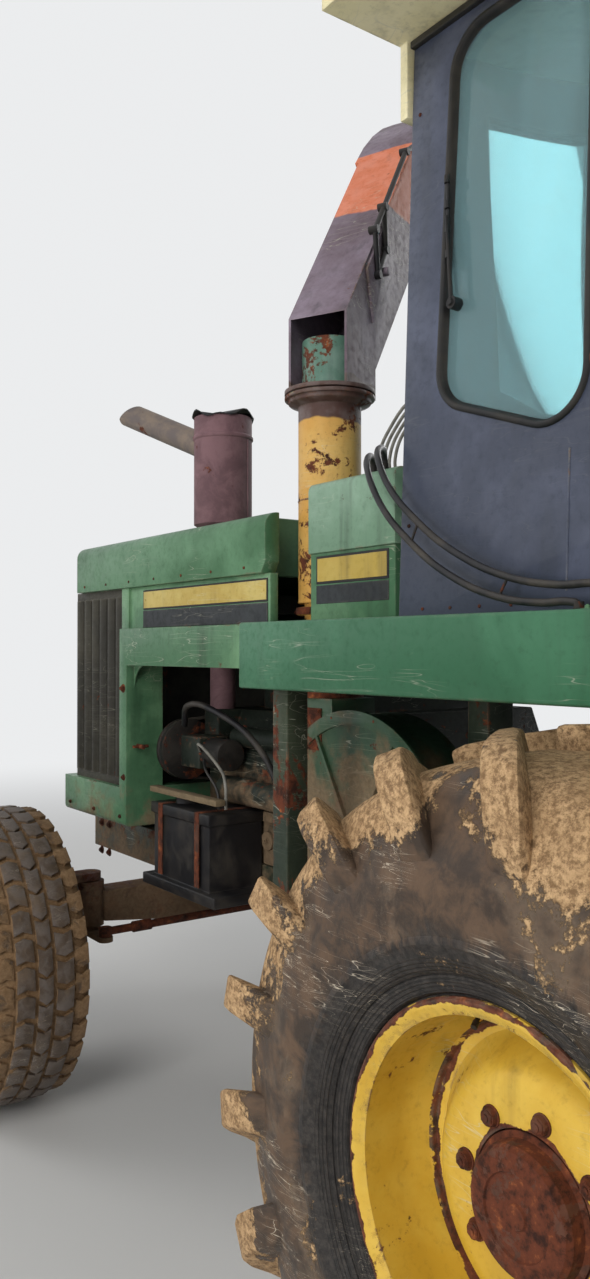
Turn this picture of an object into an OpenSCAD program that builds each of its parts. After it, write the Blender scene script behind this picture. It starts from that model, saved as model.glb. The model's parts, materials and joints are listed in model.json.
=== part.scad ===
// Self-propelled forage harvester with cab, rear engine and side blower.
// X runs forwards, Y to the machine's left and Z up. The pieces are placed from the
// drive axle and the ground, and all of them are moved together to centre the length.

/* [Wheels] */
// Distance from the drive axle to the steered axle
wheelbase = 2700; // [2650:10:2800]
// Drive tyre radius out to the lug tips
drive_tyre_r = 790; // [770:5:790]
// Drive tyre section width
drive_tyre_w = 600; // [540:5:620]
// Distance between the middles of the drive tyres
drive_track = 2400; // [2380:10:2440]
// Steered tyre radius
steer_tyre_r = 550; // [520:5:560]
// Steered tyre section width
steer_tyre_w = 380; // [320:5:400]
// Distance between the middles of the steered tyres
steer_track = 2640; // [2600:10:2680]
// Drive rim radius at its flange
drive_rim_r = 355; // [345:1:365]
// Steered rim radius at its flange
steer_rim_r = 235; // [220:1:245]
// Width of the drive rim over its flanges
drive_rim_w = 500; // [470:5:510]
// Width of the steered rim over its flanges
steer_rim_w = 300; // [270:5:310]
// Number of lugs on each half of a drive tyre
lugs = 18; // [16:1:20]
// Height of a lug
lug_h = 45; // [35:1:50]

/* [Frame] */
// Top of the main rails above the ground
rail_top = 930; // [920:5:935]
// Depth of a main rail
rail_h = 150; // [120:5:150]
// Outer face of a main rail inside the hood's side
rail_inset = 300; // [290:5:310]
// Width of a main rail
rail_w = 100; // [80:5:110]

/* [Cab] */
// Cab length from rear wall to the windscreen's foot
cab_len = 1700; // [1600:10:1800]
// Cab width over its side walls
cab_w = 1730; // [1650:10:1750]
// How far each side wall leans in from floor to roof
cab_lean = 60; // [0:5:80]
// Cab height from deck to roof
cab_h = 1560; // [1480:10:1620]
// Thickness of a cab wall
cab_wall = 40; // [36:1:50]
// Corner radius of the windows
window_r = 110; // [60:5:130]
// Glass thickness
glass_t = 8; // [6:1:10]

/* [Platform] */
// Walking surface above the ground
deck_top = 1785; // [1780:5:1810]
// Height of the beam round the platform
beam_h = 180; // [150:5:180]
// Platform width over its beams
deck_w = 2300; // [2200:10:2400]
// Number of treads on the ladder
rungs = 5; // [4:1:6]

/* [Engine hood] */
// Hood width over its side faces
hood_w = 1800; // [1700:10:1820]
// Top of the hood above the ground
hood_top = 2140; // [2100:5:2180]
// Depth of the hood's roof
lid_h = 190; // [170:2:200]
// Number of slats on each side of the grille
side_slats = 6; // [4:1:7]
// Number of bars in the rear screen
screen_bars = 15; // [8:1:18]

/* [Discharge spout] */
// Outer radius of the standing pipe
pipe_r = 100; // [90:1:105]
// Height of the turntable ring above the ground
ring_z = 2513; // [2450:1:2560]
// Straight length of the chute below its bend
chute_len = 880; // [800:10:950]
// Radius of the chute's bend at its outer face
bend_r = 980; // [900:10:1050]
// Direction of the spout at rest, from straight ahead
spout_turn = 115; // [100:1:130]
// Width of the chute
chute_w = 205; // [195:5:215]

/* [Intake] */
// Width of the feed throat
throat_w = 720; // [600:10:760]
// Height of the feed throat
throat_h = 420; // [360:10:440]
// Radius of the feed rolls over their bars
roll_r = 95; // [80:1:98]
// Number of bars on a feed roll
roll_bars = 8; // [6:1:10]

/* [Hidden] */
$fn = 48;
gap = 5;              // clearance between moving pieces
seat_gap = 0.3;       // between pieces that are set against each other
pin_gap = 0.05;       // round a pin in its bore
cut = 1;              // how far a cut runs past a face
sheet = 6;            // folded sheet metal
plate = 14;           // lugs and flanges of the frame
x_front = 1540;       // front face of the header frame, from the drive axle
drawbar_len = 250;
rail_x0 = -wheelbase - 650;
rail_x1 = 250;
x_rear = rail_x0 - drawbar_len;
x_shift = -(x_front + x_rear) / 2;
rail_y = hood_w / 2 - rail_inset;
rail_bot = rail_top - rail_h;
drive_z = drive_tyre_r;
hitch_r = 16;
hitch_x = x_rear + 60;
hitch_w = 160;
hitch_t = 60;

// axles: housing and stub radii stand beside each other
box_half = 90;
box_deep = 140;
housing_r = 150;
final_r = 190;
hub_r = 105;
drive_stub_r = 45;
steer_stub_r = 35;
king_y = steer_track / 2 - 400;
king_r = 25;
king_boss_r = 58;
arm_r = 150;
arm_w = 60;
arm_t = 20;
beam_z0 = 590;
beam_z1 = 730;
beam_half = 60;
boss_z0 = 590;
boss_z1 = 770;
yoke_t = 30;
ram_r = 42;
bead_h = 22;
flange_t = 12;

// cab and platform
cab_x0 = -870;
cab_x1 = cab_x0 + cab_len;
cab_z0 = deck_top;
cab_z1 = deck_top + cab_h;
sill_front = 120;     // the windscreen's foot stands this far out
knee_z = 420;
deck_x0 = -1210;
deck_x1 = 1000;
deck_t = 35;
skin = 12;
lip_w = 45;
roof_y = 1090;
roof_h = 170;
roof_edge = 60;
roof_cove = 120;
hinge_r = 13;
hinge_out = 20;       // hinge pin outside the wall
hinge_pin = 7;
hinge_h = 60;
hinge_z = [0.19 * cab_h, 0.74 * cab_h];
tube_r = 16;
ladder_y = 930;
ladder_w = 400;
ladder_d = 60;
ladder_z0 = 450;
stringer_t = 15;
tread_t = 30;
rung_pitch = (deck_top - ladder_z0 - 150) / (rungs - 1);
box_x0 = -1285;
box_x1 = -895;
box_y0 = 325;
box_y1 = hood_w / 2 - 44;
box_lid_z = 1995;
box_top = 2205;

// hood, radiator and engine bay
sill_x0 = -wheelbase - 300;
sill_x1 = sill_x0 + 590;
sill_z0 = 1024;
sill_z1 = 1172;
sill_t = 30;
hood_x0 = sill_x0 + 120;
hood_x1 = -1560;
hood_lip_x = -1450;
lip_t = 55;
lid_bot = hood_top - lid_h;
lid_t = 30;
lid_round = 45;
grille_x0 = sill_x0 + 70;
grille_x1 = sill_x1 - 70;
slat_w = 52;
slat_d = 60;
post_w = 70;
bay_rail_z0 = 1650;
bay_rail_z1 = 1792;
bay_x1 = -1330;
bar_t = 40;
gusset_r = 90;
post_x0 = deck_x0 + lip_w + gap;
post_x1 = post_x0 + post_w;
post_y = deck_w / 2 - 80;
outrigger_h = 60;
outrigger_z = rail_bot - 100;
stool_w = 80;
blower_x = -1170;
blower_r = 380;
engine_x0 = sill_x1 + 110;
engine_x1 = blower_x - blower_r - 50;
engine_len = engine_x1 - engine_x0;
engine_y = rail_y - 10;
engine_z1 = 1480;
head_x0 = engine_x0 + 0.23 * engine_len;
head_x1 = engine_x1 - 0.115 * engine_len;
head_top = 1850;
pulley_y = -rail_y - 60;
pulley_z = 1318;
tank_z1 = 1130;
stack_x = engine_x0 + 50;
stack_y = -rail_y + 40;
stack_r = 114;
stack_pipe_r = 50;
stack_z0 = 2200;
stack_top = 2620;

// blower and spout
blower_z = 1140;
blower_top = 1560;
blower_w = 170;
blower_y1 = -rail_y;
blower_y0 = blower_y1 - blower_w;
neck_r = 72;
pipe_x = -1400;
pipe_y = (blower_y0 + blower_y1) / 2;
pipe_foot_h = 300;
ring_r = 144;
ring_t = 12;
collar_r = 88;
collar_top = ring_z + 175;
foot_heading = 54.5;
end_heading = -12;
foot_s = -85;
foot_z = ring_z + 242;
chute_d0 = 260;
chute_d1 = 160;
chute_t = 8;
chute_front = 125;
chute_rib = 14;
bend_steps = 10;
bend_s = foot_s + chute_len * cos(foot_heading) + bend_r * sin(foot_heading);
bend_z = foot_z + chute_len * sin(foot_heading) - bend_r * cos(foot_heading);
tip_len = 300;
cap_heading = -25;
cap_len = 720;
cap_drop = 60;        // pin of the end flap below the chute's outer face
cap_back = 30;        // rear edge of the flap's plate in front of the pin
cap_pin = 12;
cheek_t = 9;
cap_s = bend_s - (bend_r - cap_drop) * sin(end_heading) + (tip_len - 20) * cos(end_heading);
cap_z = bend_z + (bend_r - cap_drop) * cos(end_heading) + (tip_len - 20) * sin(end_heading);

// intake
head_x = 620;         // cutterhead axis, the feeder's pivot
head_z = 900;
head_r = 300;
head_w = 800;
trunnion_r = 60;
feeder_x0 = 960;
feeder_z0 = 530;
throat_z0 = feeder_z0 + 20;
throat_z1 = throat_z0 + throat_h;
side_t = 20;
ear_t = 22;
frame_t = 40;
frame_y = 600;
frame_lap = 120;
roll_x = 1330;
roll_pin = 20;
roll_z_low = throat_z0 + roll_r + gap;
roll_z_up = throat_z1 - roll_r - gap;
bolt_y = 540;
bolt_lap = 70;
bolt_r = 11;
lift_y = throat_w / 2 + 180;
lift_x0 = 160;
lift_z0 = 560;
lift_x1 = 1200;
lift_z1 = 470;
lift_pin = 16;
lift_eye_r = 36;
barrel_r = 38;
barrel_len = 640;
rod_r = 20;
rod_in = 240;         // length of rod inside its barrel at rest

// hoses beside the cab, each from the side box's lid to the deck
hose_r = 9;
hose_y = -max(cab_w / 2, box_y1) - 50;
box_edge = -box_y1 + 56;
hose_up = [[-1000, box_edge, box_top + seat_gap], [-1000, box_edge, 2232], [-997, box_edge - 6, 2246],
           [-975, box_edge - 35, 2262], [-925, hose_y + 35, 2235], [-860, hose_y + 10, 2140],
           [-740, hose_y + 3, 2030], [-600, hose_y, 1940], [-440, hose_y, 1875], [-300, hose_y, 1850],
           [-190, hose_y, 1846], [-150, hose_y, 1832], [-135, hose_y, 1810],
               [-135, hose_y, deck_top + seat_gap]];
hose_low = [[-1050, box_edge, box_top + seat_gap], [-1050, box_edge, 2226], [-1046, box_edge - 8, 2240],
            [-1020, box_edge - 45, 2250], [-960, hose_y + 25, 2205], [-880, hose_y, 2090],
            [-760, hose_y - 5, 1980], [-620, hose_y - 9, 1890], [-460, hose_y - 12, 1830],
                [-330, hose_y - 12, 1812],
            [-262, hose_y - 12, 1812], [-238, hose_y - 12, 1805], [-235, hose_y - 12, 1798],
            [-235, hose_y - 12, deck_top + seat_gap]];

// Small helpers

module place() { translate([x_shift, 0, 0]) children(); }

// A box from its lowest to its highest corner
module block(a, b) { translate(a) cube([b[0] - a[0], b[1] - a[1], b[2] - a[2]]); }

// A cylinder along Y from y0 to y1
module along_y(x, y0, y1, z, r) {
    translate([x, y1, z]) rotate([90, 0, 0]) cylinder(h = y1 - y0, r = r);
}

// A cylinder along X from x0 to x1
module along_x(x0, x1, y, z, r) {
    translate([x0, y, z]) rotate([0, 90, 0]) cylinder(h = x1 - x0, r = r);
}

// An outline in X and Z, drawn out along Y from y0 to y1
module side_sheet(y0, y1) { translate([0, y1, 0]) rotate([90, 0, 0]) linear_extrude(y1 - y0) children(); }

// An outline in Y and Z, drawn out along X from x0 to x1
module cross_sheet(x0, x1) { translate([x0, 0, 0]) rotate([90, 0,
    90]) linear_extrude(x1 - x0) children(); }

module both_sides() { children(); mirror([0, 1, 0]) children(); }

// Points of an arc round c from angle a0 to a1
function arc(c, r, a0, a1,
    n = 6) = [for (i = [0 : n]) let (a = a0 + (a1 - a0) * i / n) c + r * [cos(a), sin(a)]];

// A half round bar end in section, w wide and d deep with its round face at the top
module round_front(w, d) { polygon(concat([[-w / 2, 0], [w / 2, 0]], arc([0, d - w / 2],
                                           w / 2, 0, 180, 8))); }

// A tube along given points, with rings square to the path
function sub(a, b) = [a[0] - b[0], a[1] - b[1], a[2] - b[2]];
function unit(v) = v / norm(v);
function tangent(p, i) = unit(sub(p[min(i + 1, len(p) - 1)], p[max(i - 1, 0)]));
function side_of(t) = unit(cross(t, [0, 1, 0.01]));
module swept_tube(p, r, n = 8) {
    pts = [for (i = [0 : len(p) - 1]) let (t = tangent(p, i), u = side_of(t), v = cross(t, u))
           for (k = [0 : n - 1]) p[i] + r * (cos(360 * k / n) * u + sin(360 * k / n) * v)];
    walls = [for (i = [0 : len(p) - 2]) for (k = [0 : n - 1])
             [i * n + k, i * n + (k + 1) % n, (i + 1) * n + (k + 1) % n, (i + 1) * n + k]];
    polyhedron(points = pts, faces = concat(walls, [[for (k = [n - 1 : -1 : 0]) k]],
               [[for (k = [0 : n - 1]) (len(p) - 1) * n + k]]), convexity = 6);
}

// A quarter bend of round tube from +Z to +X, with its middle line of radius r
module elbow(r, t) { translate([r, 0, 0]) rotate([90, 0, 0]) rotate([0, 0,
    90]) rotate_extrude(angle = 90) translate([r, 0]) circle(r = t); }

// Chassis

module main_rails() {
    color("#2f4a33") {
        both_sides() difference() {
            block([rail_x0, rail_y - rail_w, rail_bot], [rail_x1, rail_y, rail_top]);
            block([rail_x0 - cut, rail_y - rail_w - cut, rail_bot + plate],
                  [rail_x1 + cut, rail_y - plate, rail_top - plate]);
        }
        // channel cross members between the rails
        for (x = [rail_x0, -wheelbase - stool_w / 2, engine_x1 + 2 * plate, rail_x1 - stool_w])
            difference() {
                block([x, -rail_y + plate, rail_bot + plate], [x + stool_w, rail_y - plate,
                    rail_top - plate]);
                block([x + plate, -rail_y, rail_bot + 2 * plate],
                    [x + stool_w + cut, rail_y, rail_top - 2 * plate]);
            }
        // centre pivot of the steered axle
        along_x(-wheelbase - beam_half, -wheelbase + beam_half, 0, beam_z1 + ram_r, ram_r);
        block([-wheelbase - stool_w / 2, -ram_r, beam_z1 + ram_r],
            [-wheelbase + stool_w / 2, ram_r, rail_bot + 2 * plate]);
    }
}

// Plate at the end of the rails with the hole for a drawbar pin
module drawbar_plate() {
    z = rail_bot + 20;
    nose = hitch_x - x_rear;
    color("#2f4a33") difference() {
        union() {
            translate([0, 0, z]) linear_extrude(hitch_t)
                polygon([[hitch_x, -nose], [rail_x0, -hitch_w], [rail_x0, hitch_w], [hitch_x, nose]]);
            translate([hitch_x, 0, z]) cylinder(h = hitch_t, r = nose);
        }
        translate([hitch_x, 0, z - cut]) cylinder(h = hitch_t + 2 * cut, r = hitch_r);
    }
}

module deck_posts() {
    z = outrigger_z;
    foot = rail_y - rail_w;
    color("#2f4a33") both_sides() {
        // outrigger under the rail and the post that carries the back of the platform
        translate([post_x0, 0, 0]) cross_sheet(0, post_w) polygon([[foot, z], [post_y, z],
            [post_y, deck_top - deck_t],
            [post_y - post_w, deck_top - deck_t], [post_y - post_w, z + outrigger_h + post_w],
            [post_y - 2 * post_w, z + outrigger_h], [rail_y, z + outrigger_h], [rail_y, rail_bot],
                [foot, rail_bot]]);
        // stools under the radiator sill and the platform
        for (x = [sill_x0 + 60, sill_x1 - 140], top = [sill_z1 - sill_t])
            block([x, foot, rail_top], [x + stool_w, rail_y, top]);
        for (x = [deck_x0 + 330, rail_x1 - stool_w])
            translate([x, 0, 0]) cross_sheet(0, stool_w) polygon([[foot, rail_top], [rail_y, rail_top],
                [rail_y, deck_top - beam_h], [rail_y + stool_w, deck_top - deck_t],
                    [foot, deck_top - deck_t]]);
    }
}

// Lugs of the lift cylinders under the rails
module lift_lugs() {
    color("#2f4a33") both_sides() for (y = [lift_y - 30 - plate, lift_y + 30])
        difference() {
            union() {
                side_sheet(y, y + plate) polygon([[lift_x0 - lift_eye_r, lift_z0],
                                                  [lift_x0 + lift_eye_r, lift_z0],
                    [rail_x1, rail_bot], [box_half + gap, rail_bot]]);
                along_y(lift_x0, y, y + plate, lift_z0, lift_eye_r);
            }
            along_y(lift_x0, y - cut, y + plate + cut, lift_z0, lift_pin + pin_gap);
        }
}

module drive_axle() {
    hub_y = drive_track / 2 + drive_dish_z - 20;
    color("#33502f") {
        // transmission case with the final drives outside it
        cross_sheet(-box_half, box_half) polygon([[-rail_y - 100, rail_bot],
                                                  [-rail_y - 100, rail_bot - 90],
            [-rail_y + 60, rail_bot - box_deep], [-240, rail_bot - box_deep],
                [-160, rail_bot - box_deep - 70],
            [160, rail_bot - box_deep - 70], [240, rail_bot - box_deep],
                [rail_y - 60, rail_bot - box_deep],
            [rail_y + 100, rail_bot - 90], [rail_y + 100, rail_bot]]);
        both_sides() translate([0, 0, drive_z]) rotate([-90, 0, 0]) rotate_extrude() polygon([[0,
            rail_y + 90],
            [housing_r, rail_y + 90], [housing_r, rail_y + 160], [final_r, rail_y + 180],
                [final_r, rail_y + 300],
            [housing_r, rail_y + 340], [hub_r, rail_y + 390], [hub_r, hub_y], [drive_stub_r, hub_y],
            [drive_stub_r, hub_y + 50], [0, hub_y + 50]]);
    }
}

module steer_axle() {
    color("#6a3f36") {
        difference() {
            union() {
                // beam, deeper in the middle and lighter at its ends
                cross_sheet(-wheelbase - beam_half, -wheelbase + beam_half) polygon([[-king_y + 40,
                    beam_z0 + 20],
                    [-king_y / 2, beam_z0 - 30], [king_y / 2, beam_z0 - 30], [king_y - 40, beam_z0 + 20],
                    [king_y - 40, beam_z1], [-king_y + 40, beam_z1]]);
                both_sides() translate([-wheelbase, king_y, boss_z0]) cylinder(h = boss_z1 - boss_z0,
                    r = king_boss_r);
            }
            both_sides() translate([-wheelbase, king_y, boss_z0 - cut])
                cylinder(h = boss_z1 - boss_z0 + 2 * cut, r = king_r + pin_gap);
        }
        // steering ram in front of the beam
        translate([-wheelbase + beam_half + ram_r, 0, beam_z0 + 80]) {
            along_y(0, -220, 220, 0, ram_r);
            along_y(0, 220, 520, 0, rod_r);
            block([-ram_r - beam_half / 2, -240, -ram_r], [0, -180, ram_r]);
            block([-ram_r - beam_half / 2, 470, -30], [rod_r, 520, 30]);
        }
    }
}

// Power train

module engine() {
    color("#3c4a3c") {
        // block and sump, then the head with its rounded cover
        cross_sheet(engine_x0, engine_x1) polygon([[-engine_y, rail_top], [engine_y, rail_top],
                                                   [engine_y, engine_z1 - 200],
            [engine_y - 90, engine_z1], [-engine_y + 90, engine_z1], [-engine_y, engine_z1 - 200]]);
        cross_sheet(head_x0, head_x1) polygon(concat([[-440, engine_z1], [440, engine_z1],
                                                      [440, head_top - 150]],
            arc([340, head_top - 100], 100, 0, 90), arc([-340, head_top - 100],
                100, 90, 180), [[-440, head_top - 150]]));
        // elbow that carries the exhaust stack, and the bracket of the outer pulley
        block([engine_x0, stack_y - stack_pipe_r - 5, engine_z1 - 200],
              [stack_x + stack_pipe_r + 5, -engine_y + 150, engine_z1]);
        block([engine_x0, pulley_y - 60, pulley_z - 58], [engine_x0 + 140, -engine_y, pulley_z + 62]);
        // pipes and filter towards the open side
        along_x(engine_x0 + 0.26 * engine_len, engine_x1 - 0.09 * engine_len, -engine_y - 40,
            engine_z1 - 292, 48);
        along_x(engine_x0 + 0.27 * engine_len, engine_x1 - 0.17 * engine_len, -engine_y + 10,
            engine_z1 - 100, 38);
    }
}

module pulley(y, z, r, x0, w) {
    translate([x0, y, z]) rotate([0, -90, 0]) rotate_extrude() polygon([[0, 0], [35, 0], [35, 40],
        [r, 40], [r, 50],
        [r - 18, 40 + w / 2], [r, 30 + w], [r, 40 + w], [r - 30, 40 + w], [35, 40 + w / 2 + 12],
            [0, 40 + w / 2 + 12]]);
}
module belt_drive() {
    w = 52;
    spots = [[0, 1180, 130], [0, 1400, 90], [pulley_y, pulley_z, 118]];
    color("#3b3b38") {
        for (p = spots) pulley(p[0], p[1], p[2], engine_x0, w);
        // alternator behind the outer pulley
        translate([engine_x0 + 140, pulley_y, pulley_z + seat_gap]) rotate([0, 90,
            0]) cylinder(h = 130, r = 58);
    }
}

module radiator() {
    y = hood_w / 2 - 140;
    x0 = sill_x0 + 90;
    x1 = sill_x1 - 90;
    color("#4a4a40") difference() {
        block([x0, -y, sill_z1], [x1, y, lid_bot]);
        // core set back between the side tanks, with its header tanks above and below
        for (face = [[x0 - cut, x0 + 50], [x1 - 50, x1 + cut]])
            block([face[0], -y + 90, sill_z1 + 80], [face[1], y - 90, lid_bot - 80]);
    }
}

module grilles() {
    pitch = (grille_x1 - grille_x0) / side_slats;
    bar_pitch = 1400 / screen_bars;
    tie = 34;
    color("#5b564a") {
        both_sides() {
            for (i = [0 : side_slats - 1])
                translate([grille_x0 + pitch * (i + 0.5), hood_w / 2 - slat_d - 10, sill_z1 + tie])
                    linear_extrude(lid_bot - sill_z1 - 2 * tie) round_front(slat_w, slat_d);
            for (z = [sill_z1, lid_bot - tie])
                block([grille_x0, hood_w / 2 - slat_d - 10, z], [grille_x1, hood_w / 2 - 25, z + tie]);
        }
        for (i = [0 : screen_bars - 1])
            block([sill_x0 + 34, -700 + bar_pitch * (i + 0.3), sill_z1 + tie],
                [sill_x0 + 60, -700 + bar_pitch * (i + 0.7), lid_bot - tie]);
        for (z = [sill_z1, (sill_z1 + lid_bot) / 2, lid_bot - tie])
            block([sill_x0 + 30, -700, z], [sill_x0 + 64, 700, z + tie]);
    }
}

module bay_panels() {
    y1 = hood_w / 2;
    color("#3f7d4e") {
        // sill, an open box section with rounded lower edges
        difference() {
            translate([sill_x0, 0, 0]) cross_sheet(0, sill_x1 - sill_x0) polygon(concat([[-y1, sill_z1]],
                arc([-y1 + 20, sill_z0 + 20], 20, 180, 270), arc([y1 - 20, sill_z0 + 20],
                    20, 270, 360), [[y1, sill_z1]]));
            block([sill_x0 + sill_t, -y1 + 180, sill_z0 - cut],
                [sill_x1 - sill_t, y1 - 180, sill_z1 - sill_t]);
        }
        both_sides() {
            // corner post beside the grille, with a flange towards the front
            block([grille_x1 + 10, y1 - post_w - 20, sill_z1], [grille_x1 + post_w, y1, bay_rail_z0]);
            block([grille_x1 + post_w - sheet, y1 - 160, sill_z1], [grille_x1 + post_w, y1, bay_rail_z0]);
            block([grille_x1 + 10, y1 - 160, bay_rail_z0], [grille_x1 + post_w, y1, bay_rail_z1]);
            block([grille_x1 + 10, y1 - 150, bay_rail_z1], [grille_x1 + post_w, y1 - 10, lid_bot]);
            // bar above the open bay with a rounded gusset, and the strip that carries a blank plate
            block([grille_x1 + post_w, y1 - bar_t, bay_rail_z0], [bay_x1, y1, bay_rail_z1]);
            side_sheet(y1 - bar_t, y1 - bar_t + sheet) polygon(concat([[grille_x1 + post_w, bay_rail_z0]],
                arc([grille_x1 + post_w + gusset_r, bay_rail_z0 - gusset_r], gusset_r, 180, 90)));
            block([grille_x1 + post_w, y1 - bar_t - 10, bay_rail_z1], [hood_lip_x, y1 - 20, lid_bot]);
        }
    }
}

// The hood's roof in section, from its lower edge up over its rounded shoulders
module roof_section(y, z0, z1, r) {
    polygon(concat([[-y, z0], [y, z0]], arc([y - r, z1 - r], r, 0, 90), arc([-y + r, z1 - r],
                    r, 90, 180)));
}
module hood_roof() {
    y1 = hood_w / 2;
    color("#4a8a5a") difference() {
        union() {
            cross_sheet(hood_x0, hood_x1) roof_section(y1, lid_bot, hood_top, lid_round);
            intersection() {
                cross_sheet(hood_x1, hood_lip_x) roof_section(y1, lid_bot, hood_top, lid_round);
                both_sides() side_sheet(y1 - lip_t, y1 + cut) polygon([[hood_x1 - cut, lid_bot - cut],
                    [hood_lip_x - 25, lid_bot - cut], [hood_lip_x, lid_bot + 35],
                        [hood_lip_x, hood_top + cut], [hood_x1 - cut, hood_top + cut]]);
            }
        }
        cross_sheet(hood_x0 + lid_t, hood_x1 - lid_t) polygon([[-y1 + 50, lid_bot - cut],
            [y1 - 50, lid_bot - cut],
            [y1 - 50, hood_top - lid_round], [y1 - 80, hood_top - lid_t], [-y1 + 80, hood_top - lid_t],
                [-y1 + 50, hood_top - lid_round]]);
        translate([stack_x, stack_y, lid_bot]) cylinder(h = hood_top, r = stack_pipe_r + 10);
    }
}

// Tank on the right rail with a lipped cover, standing on a bracket
module tank_box() {
    x0 = engine_x0 - 30;
    x1 = x0 + 0.615 * engine_len;
    y0 = -rail_y - 235;
    color("#26262a") {
        block([x0 + 10, y0 + 10, rail_bot + 75], [x1 - 10, -rail_y, tank_z1 - 40]);
        block([x0, y0, tank_z1 - 40], [x1, -rail_y, tank_z1]);
        block([x0 - 40, y0 - 14, rail_bot + 35], [x1 + 60, -rail_y, rail_bot + 75]);
        translate([x0 + 0.28 * (x1 - x0), y0 + 90, tank_z1]) cylinder(h = 35, r = 40);
    }
}

module side_boxes() {
    color("#6fa37d") both_sides() {
        block([box_x0 + 5, box_y0 + 5, deck_top], [box_x1 - 5, box_y1 - 6, box_lid_z]);
        cross_sheet(box_x0, box_x1) polygon(concat([[box_y0, box_lid_z], [box_y1, box_lid_z]],
            arc([box_y1 - 25, box_top - 25], 25, 0, 90, 4), arc([box_y0 + 25, box_top - 25],
                25, 90, 180, 4)));
    }
}

// Blower, pipe and spout

module blower() {
    disc_y = blower_y0 - skin;
    color("#3f7d4e") difference() {
        union() {
            along_y(blower_x, blower_y0, blower_y1, blower_z, blower_r);
            side_sheet(blower_y0, blower_y1) polygon([[blower_x - blower_r, blower_z],
                                                      [blower_x, blower_z + blower_r / 2],
                [pipe_x + pipe_r + 20, blower_top - 140], [pipe_x + pipe_r + 20, blower_top],
                    [blower_x - blower_r, blower_top]]);
            // rim and bearing on the outer face, joined by ribs
            difference() {
                along_y(blower_x, disc_y, blower_y0 + cut, blower_z, blower_r + skin);
                along_y(blower_x, disc_y - cut, blower_y0, blower_z, blower_r - 30);
            }
            along_y(blower_x, blower_y0 - 32, blower_y0 + cut, blower_z, 70);
            for (a = [0 : 60 : 300]) translate([blower_x, blower_y0 + cut, blower_z]) rotate([90, a, 0])
                translate([60, -5, 0]) cube([blower_r - 80, 10, skin + cut]);
        }
        along_y(blower_x, blower_y0 + sheet, blower_y1 - sheet, blower_z, blower_r - sheet);
        translate([pipe_x, pipe_y, blower_z]) cylinder(h = blower_top, r = neck_r - 7);
    }
}

module standing_pipe() {
    z0 = blower_top;
    rings = [z0 + 20, z0 + pipe_foot_h - 20];
    color("#a8862f") translate([pipe_x, pipe_y, 0]) difference() {
        union() {
            translate([0, 0, z0]) cylinder(h = pipe_foot_h, r = pipe_r - 20);
            for (z = rings) translate([0, 0, z - 20]) cylinder(h = 24, r = pipe_r + 5);
            translate([0, 0, z0 + pipe_foot_h]) cylinder(h = ring_z - z0 - pipe_foot_h, r = pipe_r);
            translate([0, 0, ring_z - 3 * ring_t]) cylinder(h = ring_t, r1 = pipe_r, r2 = ring_r - 12);
            translate([0, 0, ring_z - 2 * ring_t]) cylinder(h = 2 * ring_t, r = ring_r - 12);
            translate([0, 0, ring_z - ring_t]) cylinder(h = ring_t, r = ring_r);
            translate([0, 0, ring_z]) cylinder(h = collar_top - ring_z, r = collar_r);
        }
        translate([0, 0, z0 - cut]) cylinder(h = collar_top - z0 + 2 * cut, r = neck_r);
    }
}

// Side outline of the spout, in its own upright plane, drawn t inside its outer faces
function on_bend(h, r) = [bend_s - r * sin(h), bend_z + r * cos(h)];
function bend_line(r0, r1, t0 = 0,
    t1 = 1) = [for (i = [0 : bend_steps]) let (k = t0 + (t1 - t0) * i / bend_steps,
    h = foot_heading + (end_heading - foot_heading) * k) on_bend(h, r0 + (r1 - r0) * k)];
module chute_outline(t = 0) {
    top = bend_line(bend_r - t, bend_r - t);
    low = bend_line(bend_r - chute_d0 + t, bend_r - chute_d1 + t, 1, 0);
    past = t > 0 ? cut : 0;
    run = (tip_len + past) * [cos(end_heading), sin(end_heading)];
    // the cavity has no back wall below the foot, where the collar shows
    open = t > 0 ? 2.2 * t : 0;
    polygon(concat([[foot_s - open, ring_z + gap], [foot_s - open, foot_z - 1.2 * t],
                    [foot_s + 1.2 * t, foot_z]], top,
                   [top[bend_steps] + run, low[0] + run], low,
                   [[chute_front - t, ring_z + gap + 100], [chute_front - t, ring_z + gap]]));
}

module in_spout() {
    translate([pipe_x, pipe_y, 0]) rotate([0, 0, spout_turn]) rotate([90, 0, 0]) children();
}

module spout_chute() {
    w = chute_w / 2;
    heel = [foot_s, foot_z] + 60 * [cos(foot_heading), sin(foot_heading)];
    color("#5a4a4c") difference() {
        union() {
            in_spout() translate([0, 0, -w]) linear_extrude(chute_w) chute_outline();
            translate([pipe_x, pipe_y, ring_z + gap]) cylinder(h = ring_t, r = ring_r);
            // edge strips along the bend, outside both walls
            in_spout() for (z = [-w - chute_rib, w]) translate([0, 0, z]) linear_extrude(chute_rib)
                polygon(concat(bend_line(bend_r, bend_r, 0, 1), bend_line(bend_r - chute_rib,
                    bend_r - chute_rib, 1, 0)));
            // bracket plate of the flap's linkage and its pivot
            in_spout() translate([0, 0, w - cut]) linear_extrude(chute_t + cut)
                polygon([heel + [150, -40], heel + [310, 190], heel + [250, 330], heel + [100, 120]]);
            in_spout() translate([heel[0] + 205, heel[1] + 140, w]) cylinder(h = 34, r = 14);
            // pins of the end flap
            at_cap() cylinder(h = chute_w + 2 * (gap + cheek_t), r = cap_pin, center = true);
        }
        in_spout() translate([0, 0,
            -w + chute_t]) linear_extrude(chute_w - 2 * chute_t) chute_outline(chute_t);
        translate([pipe_x, pipe_y, ring_z]) cylinder(h = gap + ring_t + cut, r = collar_r + pin_gap);
    }
}

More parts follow.
